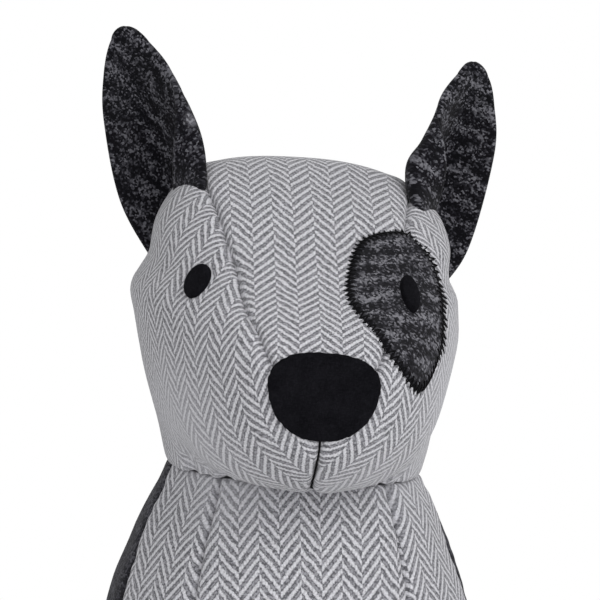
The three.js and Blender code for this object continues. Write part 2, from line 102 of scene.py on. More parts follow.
# A Mix node has a set of sockets for each kind of value; these are its colours'
FIRST_COLOUR, SECOND_COLOUR, MIXED_COLOUR = 6, 7, 2


class Recipe:
    """The node graph of a new material or world, whose methods each add one node and return its output."""

    def __init__(self, name, kind=bpy.data.materials):
        self.made = kind.new(name)
        self.made.use_nodes = True
        self.tree = self.made.node_tree
        self.shader = self.tree.nodes.get("Principled BSDF")

    def node(self, kind, settings=(), **inputs):
        """One node of a kind, with its settings and with each named input set to a number or linked."""
        made = self.tree.nodes.new(kind)
        for key, value in dict(settings).items():
            setattr(made, key, value)
        for key, value in inputs.items():
            self.feed(made.inputs[key.replace("_", " ")], value)
        return made

    def feed(self, socket, value):
        """Puts a number or colour on a socket, or links another node's output to it."""
        if isinstance(value, bpy.types.NodeSocket):
            self.tree.links.new(value, socket)
        else:
            socket.default_value = value

    def coat(self, **values):
        """Puts numbers, colours or outputs on the shader's sockets, and gives back the material."""
        for key, value in values.items():
            self.feed(self.shader.inputs[key.replace("_", " ")], value)
        return self.made

    def sum(self, operation, *terms):
        """One Math node: ADD, MULTIPLY, FRACT, SINE and so on."""
        made = self.tree.nodes.new("ShaderNodeMath")
        made.operation = operation
        for socket, term in zip(made.inputs, terms):
            self.feed(socket, term)
        return made.outputs[0]

    def between(self, value, low, high, to_low=0.0, to_high=1.0):
        """A Map Range node: low..high becomes to_low..to_high, held at both ends."""
        made = self.node("ShaderNodeMapRange", {"interpolation_type": "SMOOTHSTEP"})
        for socket, term in zip(made.inputs, (value, low, high, to_low, to_high)):
            self.feed(socket, term)
        return made.outputs[0]

    def noise(self, vector, scale, detail=2.0, rough=0.5):
        """Smooth noise from 0 to 1, with about scale bumps to each unit of the vector."""
        settings = {"Vector": vector, "Scale": scale, "Detail": detail, "Roughness": rough}
        return self.node("ShaderNodeTexNoise", **settings).outputs[0]

    def flecks(self, vector, scale, softness):
        """Cells that run softly together: a random number for each, and the distance from its middle."""
        made = self.node(
            "ShaderNodeTexVoronoi", {"feature": "SMOOTH_F1"}, Vector=vector, Scale=scale, Smoothness=softness
        )
        number = self.node("ShaderNodeSeparateColor", Color=made.outputs["Color"]).outputs[0]
        return number, made.outputs["Distance"]

    def mix(self, share, first, second):
        """The first colour where share is 0, the second where it is 1."""
        made = self.node("ShaderNodeMix", {"data_type": "RGBA"})
        self.feed(made.inputs["Factor"], share)
        self.feed(made.inputs[FIRST_COLOUR], first)
        self.feed(made.inputs[SECOND_COLOUR], second)
        return made.outputs[MIXED_COLOUR]

    def place(self):
        """The point's place in its own object, in metres."""
        return self.node("ShaderNodeTexCoord").outputs["Object"]

    def distance_from(self, centre):
        """How far the point is from a centre that is given in mm, in metres."""
        gap = self.node("ShaderNodeVectorMath", {"operation": "DISTANCE"})
        self.feed(gap.inputs[0], self.place())
        gap.inputs[1].default_value = [value * MM for value in centre]
        return gap.outputs["Value"]

    def map_in_mm(self):
        """The cloth's own map as a vector in millimetres, and its two parts: across and along the cloth."""
        flat = self.node("ShaderNodeUVMap", {"uv_map": CLOTH_MAP}).outputs[0]
        scaled = self.node("ShaderNodeVectorMath", {"operation": "SCALE"}, Vector=flat, Scale=MAP_UNIT)
        parts = self.node("ShaderNodeSeparateXYZ", Vector=scaled.outputs[0])
        return scaled.outputs[0], parts.outputs[0], parts.outputs[1]

    def raise_by(self, height, distance, strength=1.0):
        """Feeds the shader a bump from a height between 0 and 1, distance millimetres deep."""
        bump = self.node("ShaderNodeBump", Height=height, Distance=distance * MM, Strength=strength)
        self.feed(self.shader.inputs["Normal"], bump.outputs[0])

    def show(self, output, share, first, second):
        """Puts a mix of two shader nodes on the graph's output: the first where share is 0."""
        blend = self.node("ShaderNodeMixShader", Fac=share)
        for socket, shader in zip(blend.inputs[1:], (first, second)):
            self.feed(socket, shader.outputs[0])
        self.feed(self.tree.nodes[output].inputs[0], blend.outputs[0])

    def seen_directly(self):
        """1 for rays that the camera sends out, also by way of gloss or glass, and 0 for all others."""
        ray = self.node("ShaderNodeLightPath").outputs
        seen = self.sum("MAXIMUM", ray["Is Camera Ray"], ray["Is Glossy Ray"])
        return self.sum("MAXIMUM", seen, ray["Is Transmission Ray"])


def grey(level, cool=0.0):
    """A colour as the picture shows it, 0 to 255, a little cool, as the linear numbers Blender mixes."""
    srgb = np.clip(np.array([level - 0.4 * cool, level - 0.5 * cool, level + 0.9 * cool]) / 255, 0, 1)
    linear = np.where(srgb <= 0.04045, srgb / 12.92, ((srgb + 0.055) / 1.055) ** 2.4)
    return (*linear.tolist(), 1.0)


print("a grey that shows as 128 is", round(grey(128)[0], 3), "in the linear numbers of a material")

# %% [markdown]
# Herringbone is a twill that turns back at every column. Eight light yarns run up each column. Each passes
# over two dark yarns and under two, one step further on than its neighbour. At the column's edge the step
# turns round and jumps by half a repeat, so that dark meets light there. A picture of the cloth would blur
# close up and repeat itself, so the nodes work the weave out from the cloth's map, yarn by yarn.

# %% Herringbone tweed
# Width of a column and length of a repeat, in mm
COLUMN = 6.67
STRIPE = 4.0
ENDS_IN_COLUMN = 8
LIGHT_YARN = grey(222, 4)
DULL_YARN = grey(190, 3)
GREY_YARN = grey(140, 4)
DARK_YARN = grey(52, 4)
PALE_FUZZ = grey(176, 4)
DARK_FUZZ = grey(84, 4)
# The woven lines bend: bumps to each mm of cloth, and how far they push the lines, in mm
SWAY, SWAY_ALONG = 0.07, 2.4
WANDER, WANDER_ALONG, WANDER_ACROSS = 0.35, 1.3, 0.9
# Bumps to each mm of the fibres in a yarn, the fuzz over it and the blotches in the dark yarns
FIBRES, FUZZ, BLOTCHES = 1.5, 3.4, 0.95
# How far the fibres break up the edge of a yarn
RAGGED = 2.5
# Painted light where the low cheeks and chin look brighter and hazier: middle and reach in mm, and the share
# it hides
PAINTED_LIGHT = grey(184, 4)
PAINTED_LIGHT_PLACES = [([-34, -46, 172], 40, 0.4), ([44, -40, 180], 46, 0.45), ([12, -66, 160], 22, 0.3)]


def tweed_material():
    """Light yarns lie over the dark ones where fract(along / STRIPE + end / 4 + column / 2) is under a half.

    The dark yarns are mottled, with grey lengths in them, and a fine fuzz of fibres lies over both."""
    cloth = Recipe("herringbone_tweed")
    vector, across, along = cloth.map_in_mm()
    sway = cloth.noise(vector, SWAY, 2)
    wander = cloth.noise(vector, WANDER, 2)
    along = cloth.sum("MULTIPLY_ADD", sway, SWAY_ALONG, along)
    along = cloth.sum("MULTIPLY_ADD", wander, WANDER_ALONG, along)
    across = cloth.sum("MULTIPLY_ADD", wander, WANDER_ACROSS, across)
    column = cloth.sum("FLOOR", cloth.sum("DIVIDE", across, COLUMN))
    fold = cloth.sum("DIVIDE", cloth.sum("PINGPONG", across, COLUMN), COLUMN / ENDS_IN_COLUMN)
    stepped = cloth.sum("FLOOR", fold)
    end = cloth.sum("MULTIPLY_ADD", cloth.sum("SUBTRACT", fold, stepped), 0.7, stepped)
    turn = cloth.sum("MULTIPLY_ADD", end, 0.25, cloth.sum("DIVIDE", along, STRIPE))
    turn = cloth.sum("MULTIPLY_ADD", column, 0.5, turn)
    float_at = cloth.sum("FRACT", turn)
    swing = cloth.sum("SINE", cloth.sum("MULTIPLY", float_at, 2 * math.pi))
    fibre = cloth.noise(vector, FIBRES, 3, 0.7)
    fuzz = cloth.noise(vector, FUZZ, 2, 0.7)
    ragged = cloth.sum("MULTIPLY_ADD", cloth.sum("SUBTRACT", fibre, 0.5), RAGGED, swing)
    light = cloth.between(ragged, -0.55, 0.95)

    yarn_across = cloth.sum("SINE", cloth.sum("MULTIPLY", cloth.sum("FRACT", fold), math.pi))
    yarn_along = cloth.sum("SINE", cloth.sum("MULTIPLY", cloth.sum("FRACT", along), math.pi))
    blotch = cloth.noise(vector, BLOTCHES, 2, 0.6)
    second = cloth.sum("SINE", cloth.sum("MULTIPLY_ADD", float_at, 4 * math.pi, -1.2))
    mottle = cloth.sum("MULTIPLY_ADD", second, 0.07, blotch)
    dark = cloth.mix(cloth.between(mottle, 0.43, 0.62), DARK_YARN, GREY_YARN)
    pale = cloth.mix(cloth.between(fibre, 0.33, 0.66), DULL_YARN, LIGHT_YARN)
    pale = cloth.mix(cloth.between(yarn_across, 0.0, 0.5, 0.2, 0.0), pale, DARK_YARN)
    colour = cloth.mix(light, dark, pale)
    colour = cloth.mix(cloth.between(fuzz, 0.35, 0.7, 0.0, 0.3), colour, PALE_FUZZ)
    colour = cloth.mix(cloth.between(fuzz, 0.28, 0.6, 0.3, 0.0), colour, DARK_FUZZ)
    # Painted light: round each place the weave fades towards a pale grey, by up to that share
    for centre, reach, most in PAINTED_LIGHT_PLACES:
        painted_light = cloth.between(cloth.distance_from(centre), reach * MM, reach * MM * 0.3, 0.0, most)
        colour = cloth.mix(painted_light, colour, PAINTED_LIGHT)

    rounded = cloth.sum("MULTIPLY", cloth.sum("MULTIPLY", yarn_across, light), 0.6)
    under = cloth.sum("MULTIPLY", cloth.sum("SUBTRACT", 1.0, light), cloth.sum("MULTIPLY", yarn_along, 0.35))
    height = cloth.sum("ADD", cloth.sum("ADD", rounded, under), cloth.sum("MULTIPLY", fuzz, 0.6))
    cloth.raise_by(height, 0.2, 0.6)
    return cloth.coat(
        Base_Color=colour, Roughness=0.92, Specular_IOR_Level=0.15, Sheen_Weight=0.22, Sheen_Roughness=0.6
    )


tweed = tweed_material()
print("tweed:", len(tweed.node_tree.nodes), "nodes, a pair of columns is", 2 * COLUMN, "mm wide")

# %% [markdown]
# The ears, the patch and the back are a dark marl, knitted from black and grey yarns that are twisted
# together. Its loops could be modelled, but from here each is smaller than a grain of sand. So every
# stitch is a small cell with a number of its own. Slower noises and a wave are added to that number, which
# makes the cloudy places and the bands across the cloth, and the sum picks black, grey or pale.

# %% Dark marl
# Stitches to each mm, and the length of a band in mm
STITCHES = 1.6
BAND = 7.4
# Bumps to each mm of the short runs of one yarn, the clouds and the bending of the bands
RUNS, CLOUDS, DRIFT = 0.38, 0.11, 0.05
# A painted highlight: a pale spot where light catches the front of the left ear's flap; its middle and reach
# in mm
PAINTED_HIGHLIGHT_MIDDLE, PAINTED_HIGHLIGHT_REACH = [-32.3, -16, 272], 4.0
PAINTED_HIGHLIGHT_COLOUR = grey(128, 4)
EDGE_SHARE = "edge_share"


def marl_material(name, yarns, shift, row_turn=0.0, band_part=0.1, painted_highlight=False, painted_rim_shade=False):
    """pick = stitch + 0.3 (run - 1/2) + 0.32 (cloud - 1/2) + band_part / 2 sin(2 pi along / BAND) + shift.

    A low pick is black, a high one pale. With painted_rim_shade, shade is painted along the rim: the colour
    turns black where the piece's own edge_share comes near 1, beside the stitch that holds the rim down."""
    cloth = Recipe(name)
    black, middle, pale = yarns
    vector, _, _ = cloth.map_in_mm()
    turned = cloth.node("ShaderNodeMapping", Vector=vector, Rotation=(0, 0, row_turn)).outputs[0]
    along = cloth.node("ShaderNodeSeparateXYZ", Vector=turned).outputs[1]
    wider = cloth.node("ShaderNodeMapping", Vector=turned, Scale=(0.9, 1.0, 1.0)).outputs[0]
    number, from_stitch = cloth.flecks(wider, STITCHES, 0.4)
    stitch = cloth.sum("MULTIPLY_ADD", number, 0.5, 0.25)
    run = cloth.sum("SUBTRACT", cloth.noise(turned, RUNS, 2, 0.6), 0.5)
    cloud = cloth.sum("SUBTRACT", cloth.noise(vector, CLOUDS, 1), 0.5)
    bent = cloth.sum("MULTIPLY_ADD", cloth.noise(vector, DRIFT, 2), 12.0, along)
    band = cloth.sum("SINE", cloth.sum("MULTIPLY", bent, 2 * math.pi / BAND))
    pick = cloth.sum("MULTIPLY_ADD", band, band_part * 0.5, stitch)
    pick = cloth.sum("MULTIPLY_ADD", run, 0.3, pick)
    pick = cloth.sum("MULTIPLY_ADD", cloud, 0.32, pick)
    pick = cloth.sum("ADD", pick, shift)
    colour = cloth.mix(cloth.between(pick, 0.34, 0.6), black, middle)
    colour = cloth.mix(cloth.between(pick, 0.48, 0.8), colour, pale)
    # Painted highlight: the colour turns pale grey round one spot on the cloth, made ragged by the stitches
    if painted_highlight:
        gap = cloth.distance_from(PAINTED_HIGHLIGHT_MIDDLE)
        near = cloth.sum("MULTIPLY_ADD", cloth.sum("SUBTRACT", stitch, 0.5), 6 * MM, gap)
        colour = cloth.mix(cloth.between(near, PAINTED_HIGHLIGHT_REACH * MM, PAINTED_HIGHLIGHT_REACH * 0.5 * MM), colour, PAINTED_HIGHLIGHT_COLOUR)
    # Painted shade: the piece's rim is darkened raggedly towards black
    if painted_rim_shade:
        edge = cloth.node("ShaderNodeAttribute", {"attribute_name": EDGE_SHARE}).outputs["Fac"]
        ragged = cloth.sum("MULTIPLY_ADD", run, 0.45, edge)
        colour = cloth.mix(cloth.between(ragged, 0.84, 1.0, 0.0, 0.7), colour, black)
    cloth.raise_by(cloth.sum("SUBTRACT", 1.0, from_stitch), 0.3, 0.5)
    return cloth.coat(
        Base_Color=colour, Roughness=0.95, Specular_IOR_Level=0.1, Sheen_Weight=0.04, Sheen_Roughness=0.6
    )


left_ear_yarns = grey(4, 3), grey(34, 4), grey(94, 4)
right_ear_yarns = grey(6, 3), grey(39, 4), grey(108, 4)
patch_yarns = grey(16, 3), grey(56, 4), grey(120, 4)
back_yarns = grey(34, 3), grey(56, 4), grey(84, 4)
# The left ear's marl carries a painted highlight on its flap
left_ear_marl = marl_material("left_ear_marl", left_ear_yarns, -0.03, math.radians(-72), 0.15, painted_highlight=True)
right_ear_marl = marl_material("right_ear_marl", right_ear_yarns, -0.03, math.radians(-14), 0.18)
# The patch's marl carries painted shade along its rim
patch_marl = marl_material("patch_marl", patch_yarns, -0.01, 0.0, 0.19, painted_rim_shade=True)
back_marl = marl_material("back_marl", back_yarns, 0.0)
print("marl:", STITCHES, "stitches to a mm, a band every", BAND, "mm")

# %% [markdown]
# The nose and the eyes are cut from black wool felt. Felt has no threads: its fibres lie every way. A coat
# of real hairs would give that too, but would be far finer than the picture shows. So fine noise,
# stretched in two directions, gives the matted surface.


# %% Black felt and thread
# Bumps to each metre across and along the fibres, in the cloudy places of the felt and along a thread
FELT_ACROSS, FELT_ALONG, FELT_CLOUDS, TWISTS = 2600, 900, 160, 4000
# Width of a pair of yarns in the calico, in mm
CALICO_PAIR = 0.8


def felt_material():
    """Black, with two layers of stretched noise as the fibres."""
    felt = Recipe("black_felt")
    place = felt.place()
    one_way, other_way = (
        felt.node("ShaderNodeMapping", Vector=place, Scale=scale).outputs[0]
        for scale in ((FELT_ALONG, FELT_ALONG, FELT_ACROSS), (FELT_ACROSS, FELT_ALONG, FELT_ALONG))
    )
    fibres = felt.sum("MULTIPLY", felt.noise(one_way, 1.0, 3, 0.7), felt.noise(other_way, 1.0, 3, 0.7))
    cloudy = felt.between(felt.noise(place, FELT_CLOUDS, 3, 0.6), 0.3, 0.7, 0.0, 0.3)
    shade = felt.sum("ADD", felt.between(fibres, 0.1, 0.5, 0.0, 0.7), cloudy)
    colour = felt.mix(shade, grey(6, 2), grey(26, 3))
    felt.raise_by(fibres, 0.25, 0.6)
    return felt.coat(Base_Color=colour, Roughness=0.95, Specular_IOR_Level=0.05)


def thread_material():
    """Black sewing thread, with the fine lines of its twist."""
    thread = Recipe("black_thread")
    twist = thread.noise(thread.place(), TWISTS, 1)
    colour = thread.mix(twist, grey(2, 1), grey(15, 2))
    thread.raise_by(twist, 0.05)
    return thread.coat(Base_Color=colour, Roughness=0.8, Specular_IOR_Level=0.1)


def calico_material():
    """Unbleached cotton in plain weave: one sine across times one along."""
    cotton = Recipe("calico")
    parts = cotton.node("ShaderNodeSeparateXYZ", Vector=cotton.place()).outputs
    warp, weft = (
        cotton.sum("SINE", cotton.sum("MULTIPLY", part, 2 * math.pi / (CALICO_PAIR * MM)))
        for part in (parts[0], parts[2])
    )
    weave = cotton.sum("MULTIPLY_ADD", cotton.sum("MULTIPLY", warp, weft), 0.5, 0.5)
    cotton.raise_by(weave, 0.15)
    return cotton.coat(Base_Color=cotton.mix(weave, grey(188, -8), grey(214, -8)), Roughness=0.95)


felt = felt_material()
thread = thread_material()
calico = calico_material()
print("materials so far:", [material.name for material in bpy.data.materials])

# %% [markdown]
# Both stuffed forms are stacks of rings. They could be sculpted by hand, but then no size could be read
# off or changed. So a ring's sizes are given at a few stations, and a smooth curve runs through them. The
# stations are those of the CAD part, and where hands pressed the filling in, a second small table moves
# the sides.


# %% Smooth curves through stations
def smooth_through(values, at):
    """Cubic pieces through values at 0, 1, 2 and on; the slope at each is half the step between its
    neighbours."""
    values = np.asarray(values, float)
    slope = np.gradient(values, axis=0)
    at = np.asarray(at, float)
    i = np.clip(np.floor(at).astype(int), 0, len(values) - 2)
    t = (at - i).reshape(at.shape + (1,) * (values.ndim - 1))
    return (
        (2 * t**3 - 3 * t**2 + 1) * values[i]
        + (t**3 - 2 * t**2 + t) * slope[i]
        + (3 * t**2 - 2 * t**3) * values[i + 1]
        + (t**3 - t**2) * slope[i + 1]
    )


def eased_in(side, height, left, right):
    """The shift in mm that |side|^1.5 times a smooth curve of the height gives.

    Each table, for the left and for the right, has rows of height and inward shift."""
    tables = [np.array(left, float), np.array(right, float)]
    shifts = [smooth_through(t[:, 1], np.interp(height, t[:, 0], np.arange(len(t)))) for t in tables]
    return -np.sign(side) * np.abs(side) ** 1.5 * np.where(side < 0, shifts[0], shifts[1])


def corner_swell(angle, squareness):
    """How far a rounded square stands outside the circle: (|sin|^n + |cos|^n)^(-1/n)."""
    total = np.abs(np.sin(angle)) ** squareness + np.abs(np.cos(angle)) ** squareness
    return total ** (-1 / squareness)


print("halfway from 1 to 4, the curve through 0, 1, 4 and 9 is at", smooth_through([0, 1, 4, 9], 1.5))

# %% [markdown]
# The body is a rounded square in plan, widest at the hips, and narrows to the neck. Its top leans by a few
# degrees, because the neck does. A cube with a subdivision modifier could be pulled into this form, but a
# formula of level and angle also tells where every seam and every thread of the weave lies.

# %% The body's surface
NECK_HEIGHT = 155
NECK_AHEAD = 3
NECK_ASIDE = 1
NECK_LEAN = math.radians(3.5)
BODY_SQUARENESS = 2.15
BODY_TOP = 5
LEAN_FROM = 3
# Height, half width, reach forward and reach back at the hem, heel, hip, chest, shoulder and neck
BODY_STATIONS = np.array([
    [1.5, 52, 55, 55],
    [11, 62.5, 64, 67],
    [46, 66.5, 65, 70],
    [98, 62, 61, 57],
    [134, 51.5, 54, 43],
    [NECK_HEIGHT, 42.7, 44 + NECK_AHEAD, 36 - NECK_AHEAD],
])


# Height above the floor and shift inwards, both in mm
BODY_LEFT_EASE = [
    [0, 0], [95, -1], [118, -1.1], [127, -0.4], [134, 0.1], [139, 0.9], [144, 1.7], [149, 2], [158, 0.8],
]
BODY_RIGHT_EASE = [[0, 0], [110, 0], [130, 0], [158, 0.8]]


def body_point(level, angle):
    """x = half sin(angle) swell, y = -depth cos(angle) swell, in mm; the top leans by the neck's angle."""
    height, half, forward, back = np.moveaxis(smooth_through(BODY_STATIONS, level), -1, 0)
    swell = corner_swell(angle, BODY_SQUARENESS)
    depth = np.where(np.cos(angle) > 0, forward, back)
    x = half * np.sin(angle) * swell
    y = -depth * np.cos(angle) * swell
    x = x + eased_in(np.sin(angle) * swell, height, BODY_LEFT_EASE, BODY_RIGHT_EASE)
    lean = np.maximum(0, (level - LEAN_FROM) / (BODY_TOP - LEAN_FROM)) ** 2
    return np.stack([x + NECK_ASIDE * lean, y, height - x * math.tan(NECK_LEAN) * lean], axis=-1)


print("body:", 2 * BODY_STATIONS[:, 1].max(), "mm wide at the hips and", NECK_HEIGHT, "mm high to the neck")

# %% [markdown]
# The head's rings start at the tip of the nose, climb over the crown and come down to the neck. A ball
# with the muzzle pulled out of it would do too, but its seams would lie anywhere. These rings lie as the
# cloth's threads do. Each has its own brow and jaw, squarer or rounder, so one formula makes muzzle, skull
# and neck.

# %% The head's surface
NOSE_REACH = 87
CROWN_HEIGHT = 103.5
CHEEK_HALF_WIDTH = 53.5
SKULL_BACK = 47
NECK_FORWARD = 44
NECK_BACK = 36
NECK_HALF_WIDTH = 42.7
HEAD_ASIDE = 2.5
HEAD_TURN = math.radians(-1.4)
# Top forward, top up, underside forward, underside up, half width, widest at, brow, jaw, gusset, aside
MUZZLE = np.array([
    [1.0, 0.34, 1.0, 0.32, 0.03, 0.5, 2, 2, 0.8, 0],
    [0.995, 0.4, 0.985, 0.23, 0.2, 0.57, 2.15, 2.1, 0.83, 0],
    [0.965, 0.465, 0.945, 0.14, 0.375, 0.6, 2.3, 2.2, 0.8, 0],
    [0.895, 0.53, 0.87, 0.075, 0.53, 0.62, 2.4, 2.3, 0.67, 0],
    [0.775, 0.61, 0.79, 0.032, 0.665, 0.6, 2.5, 2.4, 0.63, 0],
    [0.6, 0.725, 0.715, 0.01, 0.79, 0.58, 2.6, 2.5, 0.61, 0],
    [0.365, 0.875, 0.66, 0.004, 0.89, 0.58, 2.75, 2.6, 0.605, 0],
    [0.06, 0.99, 0.62, 0.004, 0.96, 0.58, 2.75, 2.6, 0.635, 0],
])
SKULL = np.array([
    [-0.5, 0.945, 1.15, 0.003, 0.995, 0.57, 2.6, 2.5, 0.64, 0],
    [-0.86, 0.76, 1.11, 0.003, 0.985, 0.55, 2.4, 2.4, 0.62, 0.1],
    [-1.0, 0.5, 1.07, 0.003, 0.93, 0.52, 2.2, 2.3, 0.6, 0.4],
    [-0.95, 0.22, 1.03, 0.003, 0.86, 0.5, 2.15, 2.2, 0.58, 0.8],
])
neck_lengths = [-NECK_BACK, 0.3, NECK_FORWARD, 0.3, NECK_HALF_WIDTH]
NECK = np.array([*neck_lengths, 0.5, BODY_SQUARENESS, BODY_SQUARENESS, 0.56, HEAD_ASIDE])
muzzle_size = [NOSE_REACH, CROWN_HEIGHT, NOSE_REACH, CROWN_HEIGHT, CHEEK_HALF_WIDTH, 1, 1, 1, 1, HEAD_ASIDE]
skull_size = [SKULL_BACK, CROWN_HEIGHT, NECK_FORWARD, CROWN_HEIGHT, CHEEK_HALF_WIDTH, 1, 1, 1, 1, HEAD_ASIDE]
HEAD_STATIONS = np.vstack([MUZZLE * muzzle_size, SKULL * skull_size, NECK])
HEAD_END = len(HEAD_STATIONS) - 1
# The filling lies a little lower on the crown, and more so to the right: in the middle, and for a side, in mm
CROWN_LOW = 0.45
CROWN_SLOPE = 1.5
# Height above the neck and shift inwards, both in mm
HEAD_LEFT_EASE = [
    [0, 0.9], [10, 2.0], [20, 2.5], [30, 2.7], [38, 2.2], [44, 1.2], [50, 0], [56, -1.3],
    [60, -0.8], [64, 1.2], [69, 3.4], [74, 3.0], [80, 1.8], [88, 1.2], [96, 0.6], [104, 0],
]
HEAD_RIGHT_EASE = [
    [0, 1.0], [10, 1.3], [20, 2.3], [30, 2.7], [40, 2.0], [48, 1.0], [56, 1.0],
    [60, 1.0], [63, 1.9], [66, 3.4], [70, 3.2], [76, 1.4], [86, 0.3], [104, 0],
]


def head_point(ring, angle):
    """A rounded square between the ring's top and underside, in mm, measured from the middle of the neck.

    x = aside + half sin(angle) swell, and height and forward run from the underside to the top with
    cos(angle). Then the crown is lowered by (LOW + SLOPE side) cos(angle)^2."""
    stations = np.moveaxis(smooth_through(HEAD_STATIONS, ring), -1, 0)
    top_forward, top_up, under_forward, under_up, half, widest, brow, jaw, _, aside = stations
    up = np.cos(angle)
    swell = corner_swell(angle, np.where(up > 0, brow, jaw))
    rise = widest + np.where(up > 0, 1 - widest, widest) * up * swell
    forward = under_forward + rise * (top_forward - under_forward)
    height = under_up + rise * (top_up - under_up)
    side = np.sin(angle) * swell
    height = height - (CROWN_LOW + CROWN_SLOPE * side) * np.maximum(up, 0) ** 2 * half / CHEEK_HALF_WIDTH
    shift = eased_in(half * side / CHEEK_HALF_WIDTH, height, HEAD_LEFT_EASE, HEAD_RIGHT_EASE)
    return np.stack([aside + half * side + shift, -forward, height], axis=-1)


def head_in_place(points):
    """Turns points of the head about the neck, tips them with it, and sets them on the body: M p + neck."""
    turned = np.array([
        [math.cos(HEAD_TURN), -math.sin(HEAD_TURN), 0],
        [math.sin(HEAD_TURN), math.cos(HEAD_TURN), 0],
        [0, 0, 1],
    ])
    tipped = np.array([
        [math.cos(NECK_LEAN), 0, math.sin(NECK_LEAN)],
        [0, 1, 0],
        [-math.sin(NECK_LEAN), 0, math.cos(NECK_LEAN)],
    ])
    return points @ (tipped @ turned).T + np.array([NECK_ASIDE - HEAD_ASIDE, -NECK_AHEAD, NECK_HEIGHT])


def turned_with_head(directions):
    """Directions on the head, turned and tipped as it is but not moved."""
    return head_in_place(directions) - head_in_place(np.zeros(3))


def normals_of(surface, a, b, step=0.002):
    """The outward unit normal: the cross product of the surface's two slopes."""
    along = surface(a + step, b) - surface(a - step, b)
    round_it = surface(a, b + step) - surface(a, b - step)
    normal = np.cross(round_it, along)
    return normal / np.linalg.norm(normal, axis=-1, keepdims=True)


top_line = head_in_place(head_point(np.linspace(0, HEAD_END, 60), np.zeros(60)))
print("head:", 2 * CHEEK_HALF_WIDTH, "mm wide, crown", round(top_line[:, 2].max(), 1), "mm over the floor")

# %% [markdown]
# A sewn form is one closed skin. Its panels meet in seams, and the stuffing pushes the cloth out between
# them while the thread holds it in. Blender could find this by cloth simulation, but its result would lose
# the flat map of the weave. So each point is moved along its normal by how far it is from the nearest
# seam: a narrow valley at the seam, a slight roll beside it, and small puckers that die away within a
# centimetre. The panels' columns are crowded at the seams, where the shape turns quickly.

# %% Seams, puckers and soft hollows
# Depth and width of a seam's valley, height of the roll beside it, and depth of the tuck at the neck, in mm
SEAM_DIP = 2.1
SEAM_WIDTH = 0.95
SEAM_ROLL = 0.35
NECK_TUCK = 0.5
# Depth of the puckers along a seam, and their wavelengths, in mm
SEAM_PUCKER = 0.32
SEAM_PUCKERS = [5.3, 7.9, 11.7]
# Width of the pleats at the neck, in mm, and how far they slant outwards on their way up
PLEAT_WIDTH, PLEAT_SLANT = 1.3, 0.25
# Depth and size of the hollows, in mm, and how many waves make them
HOLLOW_DEPTH = 0.9
HOLLOW_SIZE = 38
HOLLOW_WAVES = 7
CROWDING = 0.85
chance = np.random.default_rng(7)


def crowded_shares(count):
    """Shares from 0 to 1 that lie closer at both ends: t - CROWDING sin(2 pi t) / 2 pi."""
    t = np.linspace(0, 1, count + 1)
    return t - CROWDING * np.sin(2 * math.pi * t) / (2 * math.pi)


def length_along(points, axis):
    """Running length of a grid's lines in one direction."""
    step = np.linalg.norm(np.diff(points, axis=axis), axis=-1)
    start = np.zeros_like(np.take(step, [0], axis=axis))
    return np.concatenate([start, np.cumsum(step, axis=axis)], axis=axis)


def puckers(along, wavelengths):
    """Uneven waves along a seam: a sum of sines of a few wavelengths, each with its own start."""
    waves = [np.sin(2 * math.pi * (along / length + chance.random())) for length in wavelengths]
    return sum(waves) / len(waves)


def seam_offset(from_seam, along_seam):
    """Valley -dip exp(-(d/w)^1.3), roll +exp(-((d-5)/3)^2), and puckers that fade as exp(-(d/6)^2)."""
    valley = -SEAM_DIP * np.exp(-((from_seam / SEAM_WIDTH) ** 1.3))
    roll = SEAM_ROLL * np.exp(-(((from_seam - 5) / 3) ** 2))
    waves = puckers(along_seam, SEAM_PUCKERS) * np.exp(-((from_seam / 6) ** 2))
    return valley + roll + SEAM_PUCKER * waves


def neck_tuck(along):
    """The cloth turns in at the neck's seam: tuck exp(-(d / w)^1.3), d being the length to the last row."""
    middle = along.shape[1] // 2
    to_neck = along[-1:, middle : middle + 1] - along[:, middle : middle + 1]
    return NECK_TUCK * np.exp(-((to_neck / SEAM_WIDTH) ** 1.3))


def neck_pleats(points, along, pleats):
    """Gathers that the neck seam draws up: each a groove -P exp(-(x/w)^2) between two low rolls, at its place
    across in mm, on the front only, dying away up the cloth as exp(-(d / length)^2)."""
    to_neck = along[-1:] - along
    grooves = np.zeros(along.shape)
    for place, depth, length in pleats:
        across = points[..., 0] - place - PLEAT_SLANT * to_neck * np.sign(place)
        rolls = 0.4 * np.exp(-(((np.abs(across) - 3) / 1.6) ** 2))
        groove = -np.exp(-((across / PLEAT_WIDTH) ** 2)) + rolls
        grooves += depth * groove * np.exp(-((to_neck / length) ** 2)) * (points[..., 1] < 0)
    return grooves


def soft_hollows(points):
    """Slow uneven hollows of stuffing: a sum of sines in several directions through space."""
    total = np.zeros(points.shape[:-1])
    for _ in range(HOLLOW_WAVES):
        direction = chance.normal(size=3)
        direction /= np.linalg.norm(direction)
        turns = points @ direction * 2 * math.pi / (HOLLOW_SIZE * chance.uniform(0.7, 1.5))
        total += np.sin(turns + chance.uniform(0, 6))
    return HOLLOW_DEPTH * total / HOLLOW_WAVES


print("seams lie", SEAM_DIP, "mm deep, with a roll of", SEAM_ROLL, "mm beside them")

# %% [markdown]
# The weave has to lie on each panel as it would on flat cloth cut to a pattern. Blender's own unwrapping
# could lay a panel flat, but it works on a selection in edit mode, and this form is known as a grid. So
# each panel is laid flat by the as-rigid-as-possible method. Each small triangle is kept rigid and only
# turned, by the angle that fits it best. Then all points are set at once, so that they agree best with the
# turned triangles. The two steps are repeated until nothing moves.

# %% Laying a panel flat
FLATTEN_ROUNDS = 60
COARSE_ROWS = 40
COARSE_COLUMNS = 17
LEAST_WEIGHT = 0.02


